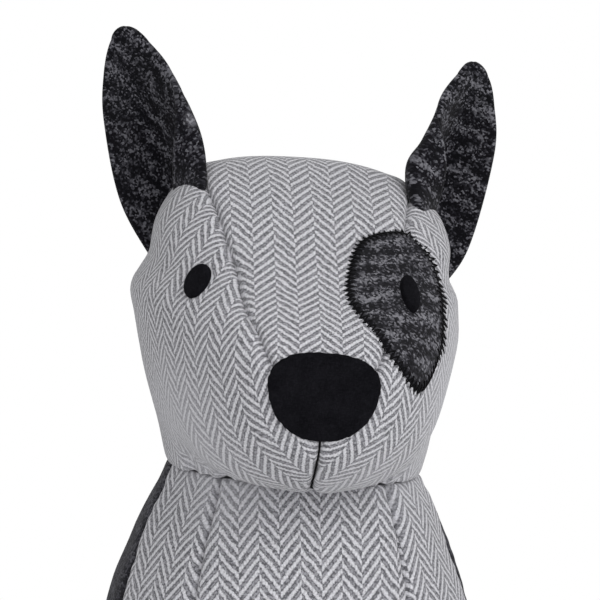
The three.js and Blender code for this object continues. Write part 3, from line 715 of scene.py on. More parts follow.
def laid_flat(grid, start):
    """Solves L u = b for the flat points u: L has cotangents as weights, b the triangles' turned edges."""
    ids = np.arange(grid.shape[0] * grid.shape[1]).reshape(grid.shape[:2])
    a, b, c, d = ids[:-1, :-1], ids[:-1, 1:], ids[1:, 1:], ids[1:, :-1]
    halves = [(a, b, c), (a, c, d), (a, b, d), (b, c, d)]
    corners = np.concatenate([np.stack([part.ravel() for part in half], axis=1) for half in halves])
    points = grid.reshape(-1, 3)[corners]
    first, second = points[:, 1] - points[:, 0], points[:, 2] - points[:, 0]
    length = np.linalg.norm(first, axis=1)
    rigid = np.zeros((len(corners), 3, 2))
    rigid[:, 1, 0] = length
    rigid[:, 2, 0] = np.sum(first * second, axis=1) / length
    rigid[:, 2, 1] = np.linalg.norm(np.cross(first, second), axis=1) / length
    flat = start.reshape(-1, 2).astype(float)
    u, v = flat[corners[:, 1]] - flat[corners[:, 0]], flat[corners[:, 2]] - flat[corners[:, 0]]
    rigid[:, 2, 1] *= np.sign(np.sum(u[:, 0] * v[:, 1] - u[:, 1] * v[:, 0]))
    edges, system = [], np.zeros((len(flat), len(flat)))
    for k in range(3):
        i, j = corners[:, (k + 1) % 3], corners[:, (k + 2) % 3]
        u, v = rigid[:, (k + 1) % 3] - rigid[:, k], rigid[:, (k + 2) % 3] - rigid[:, k]
        weight = np.sum(u * v, axis=1) / np.abs(u[:, 0] * v[:, 1] - u[:, 1] * v[:, 0])
        weight = np.maximum(weight, LEAST_WEIGHT)
        edges.append((i, j, weight, u - v))
        for at, to, sign in ((i, i, 1), (j, j, 1), (i, j, -1), (j, i, -1)):
            np.add.at(system, (at, to), sign * weight)
    system[0, 0] += 1
    inverse = np.linalg.inv(system)
    for _ in range(FLATTEN_ROUNDS):
        fit = np.zeros((len(corners), 2, 2))
        for i, j, weight, edge in edges:
            fit += weight[:, None, None] * (flat[i] - flat[j])[:, :, None] * edge[:, None, :]
        turn = np.arctan2(fit[:, 1, 0] - fit[:, 0, 1], fit[:, 0, 0] + fit[:, 1, 1])
        cosine, sine = np.cos(turn), np.sin(turn)
        target = np.zeros_like(flat)
        for i, j, weight, edge in edges:
            x, y = edge.T
            turned = np.stack([cosine * x - sine * y, sine * x + cosine * y], axis=1)
            np.add.at(target, i, weight[:, None] * turned)
            np.add.at(target, j, -weight[:, None] * turned)
        flat = inverse @ target
    return flat.reshape(*grid.shape[:2], 2)


def stretch_of(grid, flat):
    """How much longer the cloth is on the dog than flat, along the rows and the columns: least and most."""
    shares = []
    for axis in (0, 1):
        there = np.linalg.norm(np.diff(grid, axis=axis), axis=-1)
        here = np.linalg.norm(np.diff(flat, axis=axis), axis=-1)
        shares.append(there / here)
    return [f"{np.percentile(share, 2):.2f} to {np.percentile(share, 98):.2f}" for share in shares]


def finer(grid, row_at, column_at):
    """Values of a coarse grid at the given row and column places, along smooth curves."""
    by_row = smooth_through(grid, row_at)
    return np.swapaxes(smooth_through(np.swapaxes(by_row, 0, 1), column_at), 0, 1)


tile = np.stack(np.meshgrid(np.arange(4.0), np.arange(4.0)), axis=-1)
tile_upright = np.insert(tile, 1, 0.0, axis=-1)
print("a flat tile is stretched by", *stretch_of(tile_upright, laid_flat(tile_upright, tile)))

# %% [markdown]
# This is the tailor's helper. It takes a surface, the rows up it and the panels round it, and gives one
# closed mesh: the panels share their seams, the ends are closed by rows that run in to the middle, and
# every face carries its place on its own panel's flat cloth. Panels could be made apart and laid edge to
# edge, but then each would be an open sheet, and the seams would show gaps.


# %% Meshes from grids
def mesh_piece(name, points, faces, flat, material):
    """A smooth mesh object from points in mm, faces, and a flat place in mm for each corner of each face."""
    mesh = bpy.data.meshes.new(name)
    mesh.from_pydata((points * MM).tolist(), [], faces)
    if flat is not None:
        cloth_map = mesh.uv_layers.new(name=CLOTH_MAP)
        cloth_map.data.foreach_set("uv", (np.asarray(flat, float) / MAP_UNIT).ravel())
    mesh.materials.append(material)
    mesh.polygons.foreach_set("use_smooth", np.ones(len(mesh.polygons), bool))
    mesh.update()
    piece = bpy.data.objects.new(name, mesh)
    bpy.context.scene.collection.objects.link(piece)
    return piece


def facing_out(piece):
    """Turns every face of a closed mesh outwards."""
    shape = bmesh.new()
    shape.from_mesh(piece.data)
    bmesh.ops.recalc_face_normals(shape, faces=shape.faces)
    shape.to_mesh(piece.data)
    shape.free()


def quads(rows, columns, round_it):
    """The corners of each cell of a grid, anticlockwise seen from outside, and the same as grid places."""
    r, c = np.meshgrid(np.arange(rows - 1), np.arange(columns if round_it else columns - 1), indexing="ij")
    r, c = r.ravel(), c.ravel()
    corners = [(r, c), (r, c + 1), (r + 1, c + 1), (r + 1, c)]
    index = np.stack([a * columns + b % columns for a, b in corners], axis=1)
    return index, corners


def end_fans(rows, columns):
    """Triangles from the first and the last row of a grid that goes round to two points added after it."""
    c = np.arange(columns)
    after = (c + 1) % columns
    points = rows * columns
    end = points - columns
    first = np.stack([after, c, np.full(columns, points)], axis=1)
    last = np.stack([end + c, end + after, np.full(columns, points + 1)], axis=1)
    return first, last


def lids(rows, columns):
    """One flat face over the first row of a grid that goes round, and one over its last."""
    last = (rows - 1) * columns
    return [list(range(columns))[::-1], list(range(last, last + columns))]


def around(count):
    """Even angles once round."""
    return np.linspace(0, 2 * math.pi, count + 1)[:-1]


def middles_of_ends(skin):
    """The two points that the end fans run to: the means of the first and the last row."""
    return np.stack([skin[0].mean(axis=0), skin[-1].mean(axis=0)])


print("3 by 3 points have", len(quads(3, 3, False)[0]), "cells, or", len(quads(3, 3, True)[0]), "in a ring")

# %% Sewing a closed form
# Sizes of the rows that run in to the middle of an end, as shares of the last ring
ENDS = [0.97, 0.85, 0.5]
# How far from a seam a sunk panel goes down, in mm
SINKS_WITHIN = 0.8


def drawn_in(skin, rise, first):
    """Rows that run from the skin's first or last row in to its middle, and rise by so many mm on the way."""
    edge = skin[0] if first else skin[-1]
    middle = edge.mean(axis=0)
    rows = [middle + (edge - middle) * share + np.array([0, 0, rise * (1 - share)]) for share in ENDS]
    rows = np.array(rows[::-1] if first else rows)
    return np.concatenate([rows, skin] if first else [skin, rows])


def panel_grid(panel, rows, share):
    """The rows and angles of a panel's points: angle = from + share (to - from) at each row."""
    low, high = panel[0](rows), panel[1](rows)
    angle = low[:, None] + share[None, :] * (high - low)[:, None]
    return np.repeat(rows[:, None], len(share), axis=1), angle


def panel_skins(surface, rows, panel, pleats):
    """A panel's cover and its skin, which lies sunk (1 - exp(-(d / w)^2)) deeper, d from the nearest seam.

    The cover is the bare surface lifted by seams + hollows - tuck + pleats."""
    _, _, count, _, sunk, _ = panel
    ring, angle = panel_grid(panel, rows, crowded_shares(count))
    bare = surface(ring, angle)
    across, along = length_along(bare, 1), length_along(bare, 0)
    left, right = across, across[:, -1:] - across
    lift = seam_offset(left, along[:, :1]) + seam_offset(right, along[:, -1:])
    lift += soft_hollows(bare) - neck_tuck(along) + neck_pleats(bare, along, pleats)
    normal = normals_of(surface, ring, angle)
    depth = sunk * (1 - np.exp(-((np.minimum(left, right) / SINKS_WITHIN) ** 2)))
    return bare + normal * lift[..., None], bare + normal * (lift - depth)[..., None]


def panel_cloth(surface, rows, panel):
    """A panel's flat cloth at its own grid: laid flat on a coarse grid, its steps made longer by the ease."""
    _, _, count, flat_start, _, ease = panel
    coarse_rows = np.linspace(rows[0], rows[-1], COARSE_ROWS)
    coarse = surface(*panel_grid(panel, coarse_rows, np.linspace(0, 1, COARSE_COLUMNS)))
    flat = laid_flat(coarse, flat_start(coarse))
    print("panel stretch along and across:", *stretch_of(coarse, flat))
    more = ease((coarse_rows[1:] + coarse_rows[:-1]) / 2)[:, None]
    steps = np.concatenate([flat[:1] * more[:1], np.diff(flat, axis=0) * more])
    row_at = np.interp(rows, coarse_rows, np.arange(COARSE_ROWS))
    return finer(np.cumsum(steps, axis=0), row_at, crowded_shares(count) * (COARSE_COLUMNS - 1))


def cloth_corners(flats):
    """Flat places for each corner of each cell of the form, panel by panel; the ends repeat the last row."""
    corners = []
    for flat in flats:
        padded = np.pad(flat, ((len(ENDS), len(ENDS)), (0, 0), (0, 0)), mode="edge")
        _, places = quads(*padded.shape[:2], False)
        of_cells = np.stack([padded[row, column] for row, column in places], axis=1)
        corners.append(of_cells.reshape(len(padded) - 1, -1, 4, 2))
    return np.concatenate(corners, axis=1).reshape(-1, 2)


def sewn_form(name, surface, rows, panels, last_rise, place=np.asarray, pleats=()):
    """One closed form of tweed from panels round a surface.

    Each panel is (from, to, columns, start of flat, sunk, ease). A sunk panel lies that many mm deeper
    between its seams, to make room for a cloth of its own. ease(row) is how many times more cloth lies there
    than its length needs. Gives back the piece, and each panel's unsunk cover, skin and flat cloth."""
    covers, skins = zip(*[panel_skins(surface, rows, panel, pleats) for panel in panels])
    flats = [panel_cloth(surface, rows, panel) for panel in panels]
    for i, skin in enumerate(skins):
        after = (i + 1) % len(skins)
        shared = (skin[:, -1] + skins[after][:, 0]) / 2
        for edge in (skin[:, -1], skins[after][:, 0], covers[i][:, -1], covers[after][:, 0]):
            edge[:] = shared
    skin = np.concatenate([part[:, :-1] for part in skins], axis=1)
    skin = drawn_in(drawn_in(skin, 0, True), last_rise, False)
    points = np.vstack([skin.reshape(-1, 3), middles_of_ends(skin)])
    index, _ = quads(*skin.shape[:2], True)
    first_fan, last_fan = end_fans(*skin.shape[:2])
    faces = index.tolist() + first_fan.tolist() + last_fan.tolist()
    fan_flat = np.zeros((first_fan.size + last_fan.size, 2))
    piece = mesh_piece(name, place(points), faces, np.vstack([cloth_corners(flats), fan_flat]), tweed)
    return piece, covers, skins, flats


print("a form's ends are closed by", len(ENDS), "rows and a fan")

# %% [markdown]
# The head is sewn from three pieces of tweed: a gusset from the nose over the crown to the neck, and two
# sides that meet under the chin. Sculpting could give the form, but not the weave: here each panel keeps
# its own flat cloth, so the herringbone breaks at every seam, as it does on a sewn head. A tailor also
# cuts some panels longer than their place and gathers them in, and so do these.

# %% The head
HEAD_ROWS = np.linspace(0, HEAD_END, 170)
# Columns of the gusset and of a side
GUSSET_COLUMNS, SIDE_COLUMNS = 64, 84
# The gusset's extra length over the muzzle, the rings over which it fades, and the sides' extra both ways
MUZZLE_EASE, MUZZLE_EASE_FROM, MUZZLE_EASE_TO = 0.45, 3.9, 5.2
CHEEK_EASE = 1.1
# How far the chin seam stands to one side, at which ring, and over how many rings
CHIN_ASIDE, CHIN_ASIDE_AT, CHIN_ASIDE_OVER = 0.085, 7.4, 2.3


def gusset_seam(ring):
    """The gusset's edge as an angle: the arc sine of its share of the half width."""
    return np.arcsin(smooth_through(HEAD_STATIONS[:, 8], ring))


def start_from_middle(grid):
    """Flat start for a strip: length across from its middle column, and length up its middle column."""
    middle = grid.shape[1] // 2
    across = length_along(grid, 1)
    up = length_along(grid[:, middle : middle + 1], 0)
    return np.stack([across - across[:, middle : middle + 1], np.repeat(up, grid.shape[1], axis=1)], axis=-1)


def start_from_cheek(grid):
    """Flat start for a side of the head: its middle line as seen from the side but with its true length.

    From each point of that line its row is laid off square to the line, by its length."""
    middle = grid.shape[1] // 2
    side_view = np.stack([-grid[..., 1], grid[..., 2]], axis=-1)
    step = np.gradient(side_view[:, middle], axis=0)
    heading = step / np.linalg.norm(step, axis=-1, keepdims=True)
    length = np.diff(length_along(grid, 0)[:, middle], prepend=0)
    line = np.cumsum(heading * length[:, None], axis=0)
    line += side_view[:1, middle] - line[:1]
    square = np.stack([-heading[:, 1], heading[:, 0]], axis=-1)
    turn = np.sign(np.sum((side_view[:, middle + 1] - side_view[:, middle - 1]) * square))
    across = length_along(grid, 1)
    across = across - across[:, middle : middle + 1]
    return line[:, None] + turn * across[..., None] * square[:, None]


def chin_seam(ring):
    """The chin seam's angle: pi, less a little in the middle, where the seam was sewn to one side."""
    return math.pi - CHIN_ASIDE * np.exp(-(((ring - CHIN_ASIDE_AT) / CHIN_ASIDE_OVER) ** 2))


def not_eased(row):
    """As much cloth as its length needs, across and along."""
    return np.ones((len(row), 2))


def eased_over_muzzle(ring):
    """Nearly half as much cloth again along the bridge of the nose: 1 + EASE (1 - s), s a smooth step."""
    step = np.clip((ring - MUZZLE_EASE_FROM) / (MUZZLE_EASE_TO - MUZZLE_EASE_FROM), 0, 1)
    return np.stack([np.ones_like(ring), 1 + MUZZLE_EASE * (1 - step * step * (3 - 2 * step))], axis=1)


def eased_at_cheeks(ring):
    """A tenth more cloth both ways, gathered in by the seams."""
    return np.full((len(ring), 2), CHEEK_EASE)


def other_gusset_seam(ring):
    """The gusset's edge on the other side, all the way round."""
    return 2 * math.pi - gusset_seam(ring)


# Place across, depth and length in mm
NECK_PLEATS = [(-33, 1.6, 13), (-23, 1.2, 9), (-29, 0.8, 18), (21, 1.0, 9), (27, 1.5, 12), (33, 0.7, 15)]
head_panels = [
    (lambda ring: -gusset_seam(ring), gusset_seam, GUSSET_COLUMNS, start_from_middle, 0, eased_over_muzzle),
    (gusset_seam, chin_seam, SIDE_COLUMNS, start_from_cheek, 0, eased_at_cheeks),
    (chin_seam, other_gusset_seam, SIDE_COLUMNS, start_from_cheek, 0, eased_at_cheeks),
]
head, _, _, _ = sewn_form(
    "stuffed_head", head_point, HEAD_ROWS, head_panels, last_rise=1.0, place=head_in_place, pleats=NECK_PLEATS
)
print("head:", len(head.data.polygons), "faces")

# %% [markdown]
# The body has four panels: the chest, two sides, and the dark back. The first three are one stuffed skin
# of tweed. The back could be the same skin with a dark material, but it is another cloth, laid on as a
# sheet. So the skin sinks under it by its thickness, and the two don't cut through each other.

# %% The body
BODY_ROWS = np.linspace(0, BODY_TOP, 150)
CHEST_SHIFT = math.radians(-2.5)
CHEST_AT_HEM, CHEST_AT_NECK = 29, 40
BACK_AT_HEM, BACK_AT_NECK = 68, 82
CHEST_COLUMNS, FLANK_COLUMNS, BACK_COLUMNS = 64, 44, 96
BACK_CLOTH = 1.1
BACK_ROOM = 0.1


def chest_seams(level):
    """The chest's two edges as angles: half the angle between them grows evenly with the level."""
    half = np.radians(CHEST_AT_HEM + (CHEST_AT_NECK - CHEST_AT_HEM) * level / BODY_TOP)
    return CHEST_SHIFT - half, CHEST_SHIFT + half


def back_seam(level):
    """The back's edge as an angle, which grows with the square of the level."""
    return np.radians(BACK_AT_HEM + (BACK_AT_NECK - BACK_AT_HEM) * (level / BODY_TOP) ** 2)


def other_back_seam(level):
    """The same edge on the other side, all the way round."""
    return 2 * math.pi - back_seam(level)


body_panels = [
    (lambda level: chest_seams(level)[0], lambda level: chest_seams(level)[1], CHEST_COLUMNS,
     start_from_middle, 0, not_eased),
    (lambda level: chest_seams(level)[1], back_seam, FLANK_COLUMNS, start_from_middle, 0, not_eased),
    (back_seam, other_back_seam, BACK_COLUMNS, start_from_middle, BACK_CLOTH + BACK_ROOM, not_eased),
    (other_back_seam, lambda level: 2 * math.pi + chest_seams(level)[0], FLANK_COLUMNS,
     start_from_middle, 0, not_eased),
]
body, body_covers, body_skins, body_flats = sewn_form(
    "stuffed_body", body_point, BODY_ROWS, body_panels, last_rise=-0.6
)
print("body:", len(body.data.polygons), "faces")

# %% [markdown]
# The dark back is a cloth of its own, laid in the room that the body leaves for it. A plane with a
# solidify modifier would do, but its edge has to meet the seams exactly. So it is a thin closed sheet: one
# grid of points outside, one inside, and a rim between them.


# %% A closed sheet, and the back panel
def closed_sheet(name, outer, inner, flat, material):
    """Two grids of points in mm, outer and inner, joined by a rim; flat is the outer grid's cloth."""
    rows, columns = outer.shape[:2]
    index, _ = quads(rows, columns, False)
    under = index[:, ::-1] + rows * columns
    grid = np.arange(rows * columns).reshape(rows, columns)
    rim = np.concatenate([grid[0, :-1], grid[:-1, -1], grid[-1, :0:-1], grid[:0:-1, 0]])
    after = np.roll(rim, -1)
    rim_faces = np.stack([rim, rim + rows * columns, after + rows * columns, after], axis=1)
    faces = np.concatenate([index, under, rim_faces])
    points = np.concatenate([outer.reshape(-1, 3), inner.reshape(-1, 3)])
    places = np.concatenate([flat.reshape(-1, 2), flat.reshape(-1, 2)])
    piece = mesh_piece(name, points, faces.tolist(), places[faces.ravel()], material)
    facing_out(piece)
    return piece


# Which panel of the body is the back, and how far up from the skin the cloth's inner face lies, as a share
BACK = 2
OFF_SKIN = 0.08
back_outer = body_covers[BACK]
back_inner = body_skins[BACK] + (back_outer - body_skins[BACK]) * OFF_SKIN
back = closed_sheet("back_panel", back_outer, back_inner, body_flats[BACK], back_marl)
print("back panel:", len(back.data.polygons), "faces")

# %% [markdown]
# Each ear is a leaf of dark cloth, two layers thick, curled so that its front edge rolls forward. Four
# lines run up it: the front edge, the fold, the bottom of the cup and the outer edge. A smooth curve
# across the four gives every row. Bending a flat leaf with a modifier would be quicker, but would not give
# the outline that shows against the wall. The sheet thins to its rim, as two layers do that are sewn and
# turned. Where it would run into the head it is cut away, because that is where the seam holds it.

# %% The ears' form
# Height of the root above the neck, and the height, spread and cup that the shares below refer to, in mm
EAR_ROOT = 68
EAR_HEIGHT = 74
EAR_SPREAD = 67
EAR_CUP = 30
TIP_FULLNESS = 0.19
# Six stations up each ear; at each, the four lines as shares of spread, cup and height
LEFT_EAR = np.array([
    [[0.61, 0.05, 0.19], [0.52, 0.9, 0.19], [0.49, -0.13, 0.13], [0.667, -0.45, -0.08]],
    [[0.655, 0.33, 0.44], [0.515, 0.45, 0.44], [0.66, -0.3, 0.43], [0.874, -0.31, 0.216]],
    [[0.655, 0.4, 0.6], [0.57, 0.27, 0.61], [0.755, -0.3, 0.61], [0.984, -0.13, 0.577]],
    [[0.665, 0.09, 0.8], [0.7, 0.02, 0.8], [0.855, -0.18, 0.79], [1.0, -0.03, 0.79]],
    [[0.79, 0, 0.945], [0.83, -0.01, 0.95], [0.915, -0.02, 0.95], [0.975, 0, 0.942]],
    [[0.905, 0, 1.006]] * 4,
])
RIGHT_EAR = np.array([
    [[0.635, 0.2, 0.19], [0.56, 0.86, 0.17], [0.5, -0.13, 0.13], [0.753, -0.43, -0.12]],
    [[0.685, 0.42, 0.43], [0.5, 0.52, 0.44], [0.63, -0.28, 0.42], [0.888, -0.35, 0.094]],
    [[0.67, 0.42, 0.57], [0.575, 0.38, 0.575], [0.73, -0.27, 0.58], [0.969, -0.14, 0.528]],
    [[0.65, 0.17, 0.744], [0.69, 0.08, 0.745], [0.8, -0.17, 0.75], [0.943, -0.04, 0.754]],
    [[0.745, 0.03, 0.882], [0.775, 0.01, 0.89], [0.828, -0.02, 0.893], [0.9, 0, 0.877]],
    [[0.823, 0, 0.938]] * 4,
])


def ear_grid(stations, hand, heights, acrosses):
    """Points of the ear's middle sheet: a smooth curve up each line, then one across the four lines.

    Past the last but one station the tip is round: with t the share of the way up it, its width is
    sqrt(1 - t) (1 + TIP_FULLNESS t) of that station's."""
    tip_from = len(stations) - 2
    lines = smooth_through(stations, np.minimum(heights, tip_from))
    left = 1 - np.clip(heights - tip_from, 0, 1)
    t = (1 - left**2)[:, None, None]
    width = left[:, None, None] * (1 + TIP_FULLNESS * t)
    tip, last = stations[-1].mean(axis=0), stations[-2]
    foot = last.mean(axis=0)
    round_tip = foot + (last - foot) * width + (tip - foot) * t
    lines = np.where((heights > tip_from)[:, None, None], round_tip, lines)
    grid = np.swapaxes(smooth_through(np.swapaxes(lines, 0, 1), acrosses), 0, 1)
    return grid * [EAR_SPREAD * hand, -EAR_CUP, EAR_HEIGHT] + [0, 0, EAR_ROOT]


for stations in (LEFT_EAR, RIGHT_EAR):
    print("an ear's tip is", round(EAR_ROOT + EAR_HEIGHT * stations[-1, 0, 2], 1), "mm over the neck")

# %% The ears
# Thickness of both layers, the rim over which they thin, and how far the head's skin holds them in, in mm
EAR_THICK = 2.5
EAR_RIM = 1.6
EAR_HELD = 0.5
# Depth of the puckers along the rim, and their wavelengths, in mm
EAR_PUCKER = 0.12
EAR_PUCKERS = [6.1, 9.3]
# Stations: where the tip starts, where its normals are kept steady, and where the last row lies
TIP_START, TIP_STEADY, TIP_END = 4, 4.5, 4.97


def grid_normals(grid):
    """The cross product of a grid's two slopes, made one long."""
    normal = np.cross(np.gradient(grid, axis=1), np.gradient(grid, axis=0))
    return normal / np.maximum(np.linalg.norm(normal, axis=-1, keepdims=True), 1e-9)


def head_cutter():
    """The head's plain form, a little under its skin, as one closed mesh."""
    rings, angles = np.linspace(0, HEAD_END, 90), around(96)
    ring, angle = np.meshgrid(rings, angles, indexing="ij")
    skin = head_point(ring, angle) - EAR_HELD * normals_of(head_point, ring, angle)
    index, _ = quads(*ring.shape, True)
    faces = index.tolist() + lids(*ring.shape)
    cutter = mesh_piece("head_cutter", head_in_place(skin.reshape(-1, 3)), faces, None, tweed)
    facing_out(cutter)
    return cutter


def cut_off(piece, cutter):
    """Cuts one closed mesh from another and keeps the result as a plain mesh."""
    cut = piece.modifiers.new("cut", "BOOLEAN")
    cut.operation = "DIFFERENCE"
    cut.solver = "MANIFOLD"
    cut.object = cutter
    bpy.context.view_layer.update()
    done = bpy.data.meshes.new_from_object(piece.evaluated_get(bpy.context.evaluated_depsgraph_get()))
    piece.modifiers.clear()
    piece.data = done


def ear(name, stations, hand, marl):
    """The middle sheet with a half thickness to each side: H sqrt(1 - (1 - d/w)^2) within w of the rim."""
    heights = np.concatenate([np.linspace(0, TIP_START, 64), np.linspace(TIP_START, TIP_END, 26)[1:]])
    acrosses = 3 * crowded_shares(72)
    grid = ear_grid(stations, hand, heights, acrosses)
    across, up = length_along(grid, 1), length_along(grid, 0)
    from_rim = np.minimum(np.minimum(across, across[:, -1:] - across), up[-1:] - up)
    inside = np.clip(from_rim / EAR_RIM, 0, 1)
    half = EAR_THICK / 2 * np.sqrt(np.maximum(1 - (1 - inside) ** 2, 0.002))
    half = half + EAR_PUCKER * puckers(up[:, :1], EAR_PUCKERS) * np.exp(-((from_rim / 4) ** 2)) * inside
    normal = grid_normals(grid)
    steady = np.searchsorted(heights, TIP_STEADY)
    normal[steady:] = normal[steady]
    coarse_heights = np.linspace(0, heights[-1], COARSE_ROWS)
    coarse = ear_grid(stations, hand, coarse_heights, np.linspace(0, 3, COARSE_COLUMNS))
    flat = laid_flat(coarse, start_from_middle(coarse))
    row_at = np.interp(heights, coarse_heights, np.arange(COARSE_ROWS))
    flat = finer(flat, row_at, acrosses / 3 * (COARSE_COLUMNS - 1))
    outer = head_in_place(grid + normal * half[..., None])
    inner = head_in_place(grid - normal * half[..., None])
    return closed_sheet(name, outer, inner, flat, marl)


left_ear = ear("ear_left", LEFT_EAR, -1, left_ear_marl)
right_ear = ear("ear_right", RIGHT_EAR, 1, right_ear_marl)
cutter = head_cutter()
for leaf in (left_ear, right_ear):
    cut_off(leaf, cutter)
    print(leaf.name, len(leaf.data.polygons), "faces")
bpy.data.objects.remove(cutter)

# %% [markdown]
# The nose is one piece of felt that covers the tip of the muzzle. A flat piece could be dropped on it with
# a shrinkwrap modifier, but felt keeps its thickness. So it is laid on the head's own rings: each of its
# circles is a share of the way out to its edge. A felt edge is cut square and softens in use, so the last
# tenth is rounded.


# %% The nose
# Thickness of the felt and of the patch's cloth, and the room under a cut piece, in mm
FELT = 1.6
CLOTH = 1.2
GAP = 0.3
NOSE_HALF_WIDTH = 17.4
# How far out the nose's edge stands, from its top to its foot, as shares of the ring of that half width
NOSE_EDGE = np.array([1.13, 1.14, 1, 0.84, 0.78])
# The edge's unevenness: its share, and its wavelengths as shares of the way round
NOSE_UNEVEN = 0.012
NOSE_WAVES = [1 / 17, 1 / 29, 1 / 41]


def felt_rise(share, thickness, rounding=0.1):
    """Height of a flat cut piece: full thickness inside, a quarter circle over the outer rounding share."""
    edge = np.clip((share - (1 - rounding)) / rounding, 0, 1)
    return thickness * np.sqrt(np.maximum(1 - edge**2, 0))


def laid_piece(name, outer, inner, flat, material):
    """A closed cap: circles from the middle out over the top and back in underneath, each end with a fan."""
    skin = np.concatenate([outer, inner[::-1]])
    index, _ = quads(*skin.shape[:2], True)
    top, bottom = end_fans(*skin.shape[:2])
    faces = index.tolist() + top.tolist() + bottom.tolist()
    middle = flat[0].mean(axis=0)
    places = np.vstack([np.concatenate([flat, flat[::-1]]).reshape(-1, 2), middle, middle])
    order = np.concatenate([index.ravel(), top.ravel(), bottom.ravel()])
    points = np.vstack([skin.reshape(-1, 3), middles_of_ends(skin)])
    piece = mesh_piece(name, points, faces, places[order], material)
    facing_out(piece)
    return piece


def felt_nose():
    """Ring = share times the edge's ring at that angle; the outer skin rises by felt_rise."""
    rings = np.linspace(0, 4, 800)
    edge = np.interp(NOSE_HALF_WIDTH, smooth_through(HEAD_STATIONS[:, 4], rings), rings)
    angle = around(144)
    reach = edge * smooth_through(NOSE_EDGE, np.minimum(angle, 2 * math.pi - angle) / math.pi * 4)
    reach = reach * (1 + NOSE_UNEVEN * puckers(angle / (2 * math.pi), NOSE_WAVES))
    share = np.concatenate([np.linspace(0.05, 0.88, 20), np.linspace(0.9, 1, 10)])
    ring = share[:, None] * reach[None, :]
    turn = np.repeat(angle[None, :], len(share), axis=0)
    normal = normals_of(head_point, ring, turn)
    skin = head_point(ring, turn)
    rise = felt_rise(share, FELT)[:, None, None]
    outer = head_in_place(skin + normal * (GAP / 2 + rise))
    inner = head_in_place(skin + normal * 0.02)
    from_middle = length_along(skin, 0) + np.linalg.norm(skin[0] - skin[0].mean(axis=0), axis=-1)
    flat = from_middle[..., None] * np.stack([np.sin(turn), np.cos(turn)], axis=-1)
    return laid_piece("felt_nose", outer, inner, flat, felt), reach


nose, nose_reach = felt_nose()
print("nose:", [round(size * 1000) for size in nose.dimensions], "mm")

# %% [markdown]
# The eyes and the patch are cut flat and laid on the head. A shrinkwrap modifier could do this, but the
# felt's thickness and its flat map would have to be mended after it. So each is drawn on a plane that
# touches the head at the piece's middle, and every point of it is pushed straight in until it meets the
# head. Newton's method finds where: it measures how far off the line a point of the surface is, and steps
# by the two slopes, all points at once.


# %% Laying a flat cut piece on the head, and the eyes
# How far under its own height the inner face of a cut piece lies, in mm
BEDDED = 0.1
EYE_ROUNDING = 0.16
EYE_DOME = 0.3


def meet_head(start, direction, ring, angle, rounds=16, step=0.002):
    """Where the lines from start along direction meet the head, as rings and angles near the guesses."""
    sideways = np.cross([0, 0, 1], direction)
    sideways /= np.linalg.norm(sideways)
    upwards = np.cross(direction, sideways)
    for _ in range(rounds):
        off = head_point(ring, angle) - start
        by_ring = (head_point(ring + step, angle) - start - off) / step
        by_angle = (head_point(ring, angle + step) - start - off) / step
        p, q = off @ sideways, off @ upwards
        a, b, c, d = by_ring @ sideways, by_angle @ sideways, by_ring @ upwards, by_angle @ upwards
        slope = a * d - b * c
        ring = ring - (d * p - b * q) / slope
        angle = angle - (a * q - c * p) / slope
    return ring, angle


def plane_on_head(side, level, spin, near):
    """A plane that touches the head: ring and angle of its middle, the middle, across, up and normal."""
    front = np.array([0, -1.0, 0])
    ring, angle = meet_head(np.array([side, 0, level]), front, *[np.array(value) for value in near])
    middle = head_point(ring, angle)
    normal = normals_of(head_point, ring, angle)
    across = np.cross([0, 0, 1], normal)
    across /= np.linalg.norm(across)
    up = np.cross(normal, across)
    turned_across = across * math.cos(spin) + up * math.sin(spin)
    turned_up = up * math.cos(spin) - across * math.sin(spin)
    return ring, angle, middle, turned_across, turned_up, normal


def cut_piece(name, outline, place, thickness, lift, material, rounding, dome=0.0):
    """Circles from the plane's middle out to the outline, each point pushed in to the head and then lifted.

    It is lifted by lift + felt_rise + dome (1 - share^2). The edge_share tells the material how far out a
    point lies."""
    ring, angle, middle, across, up, normal = place
    share = np.concatenate([np.linspace(0.06, 1 - rounding, 16), np.linspace(1 - rounding, 1, 9)[1:]])
    outer, inner, flat = [], [], []
    ring, angle = np.full(len(outline), ring), np.full(len(outline), angle)
    for part in share:
        start = middle + part * (outline[:, :1] * across + outline[:, 1:] * up)
        ring, angle = meet_head(start, normal, ring, angle)
        skin, out = head_point(ring, angle), normals_of(head_point, ring, angle)
        outer.append(skin + out * (lift + felt_rise(part, thickness, rounding) + dome * (1 - part**2)))
        inner.append(skin + out * (lift - BEDDED))
        flat.append(outline * part)
    outer, inner = head_in_place(np.array(outer)), head_in_place(np.array(inner))
    piece = laid_piece(name, outer, inner, np.array(flat), material)
    edge_share = piece.data.attributes.new(EDGE_SHARE, "FLOAT", "POINT")
    each = np.repeat(np.concatenate([share, share[::-1]]), len(outline))
    edge_share.data.foreach_set("value", np.concatenate([each, [0, 0]]))
    return piece


def felt_eye(name, width, height, place, lift):
    """An oval of felt: x = width / 2 sin(turn), y = height / 2 cos(turn)."""
    turn = around(72)
    outline = np.stack([width / 2 * np.sin(turn), height / 2 * np.cos(turn)], axis=-1)
    return cut_piece(name, outline, place, FELT, lift, felt, EYE_ROUNDING, EYE_DOME)


left_eye_plane = plane_on_head(-37.4, 64.7, math.radians(12), (5.15, -0.95))
right_eye_plane = plane_on_head(28.2, 63.8, math.radians(-21), (4.75, 0.74))
left_eye = felt_eye("felt_eye_left", 8.8, 13, left_eye_plane, BEDDED)
right_eye = felt_eye("felt_eye_right", 6.2, 15.2, right_eye_plane, CLOTH + 2 * BEDDED)
print("eyes:", [round(size * 1000) for eye in (left_eye, right_eye) for size in eye.dimensions], "mm")

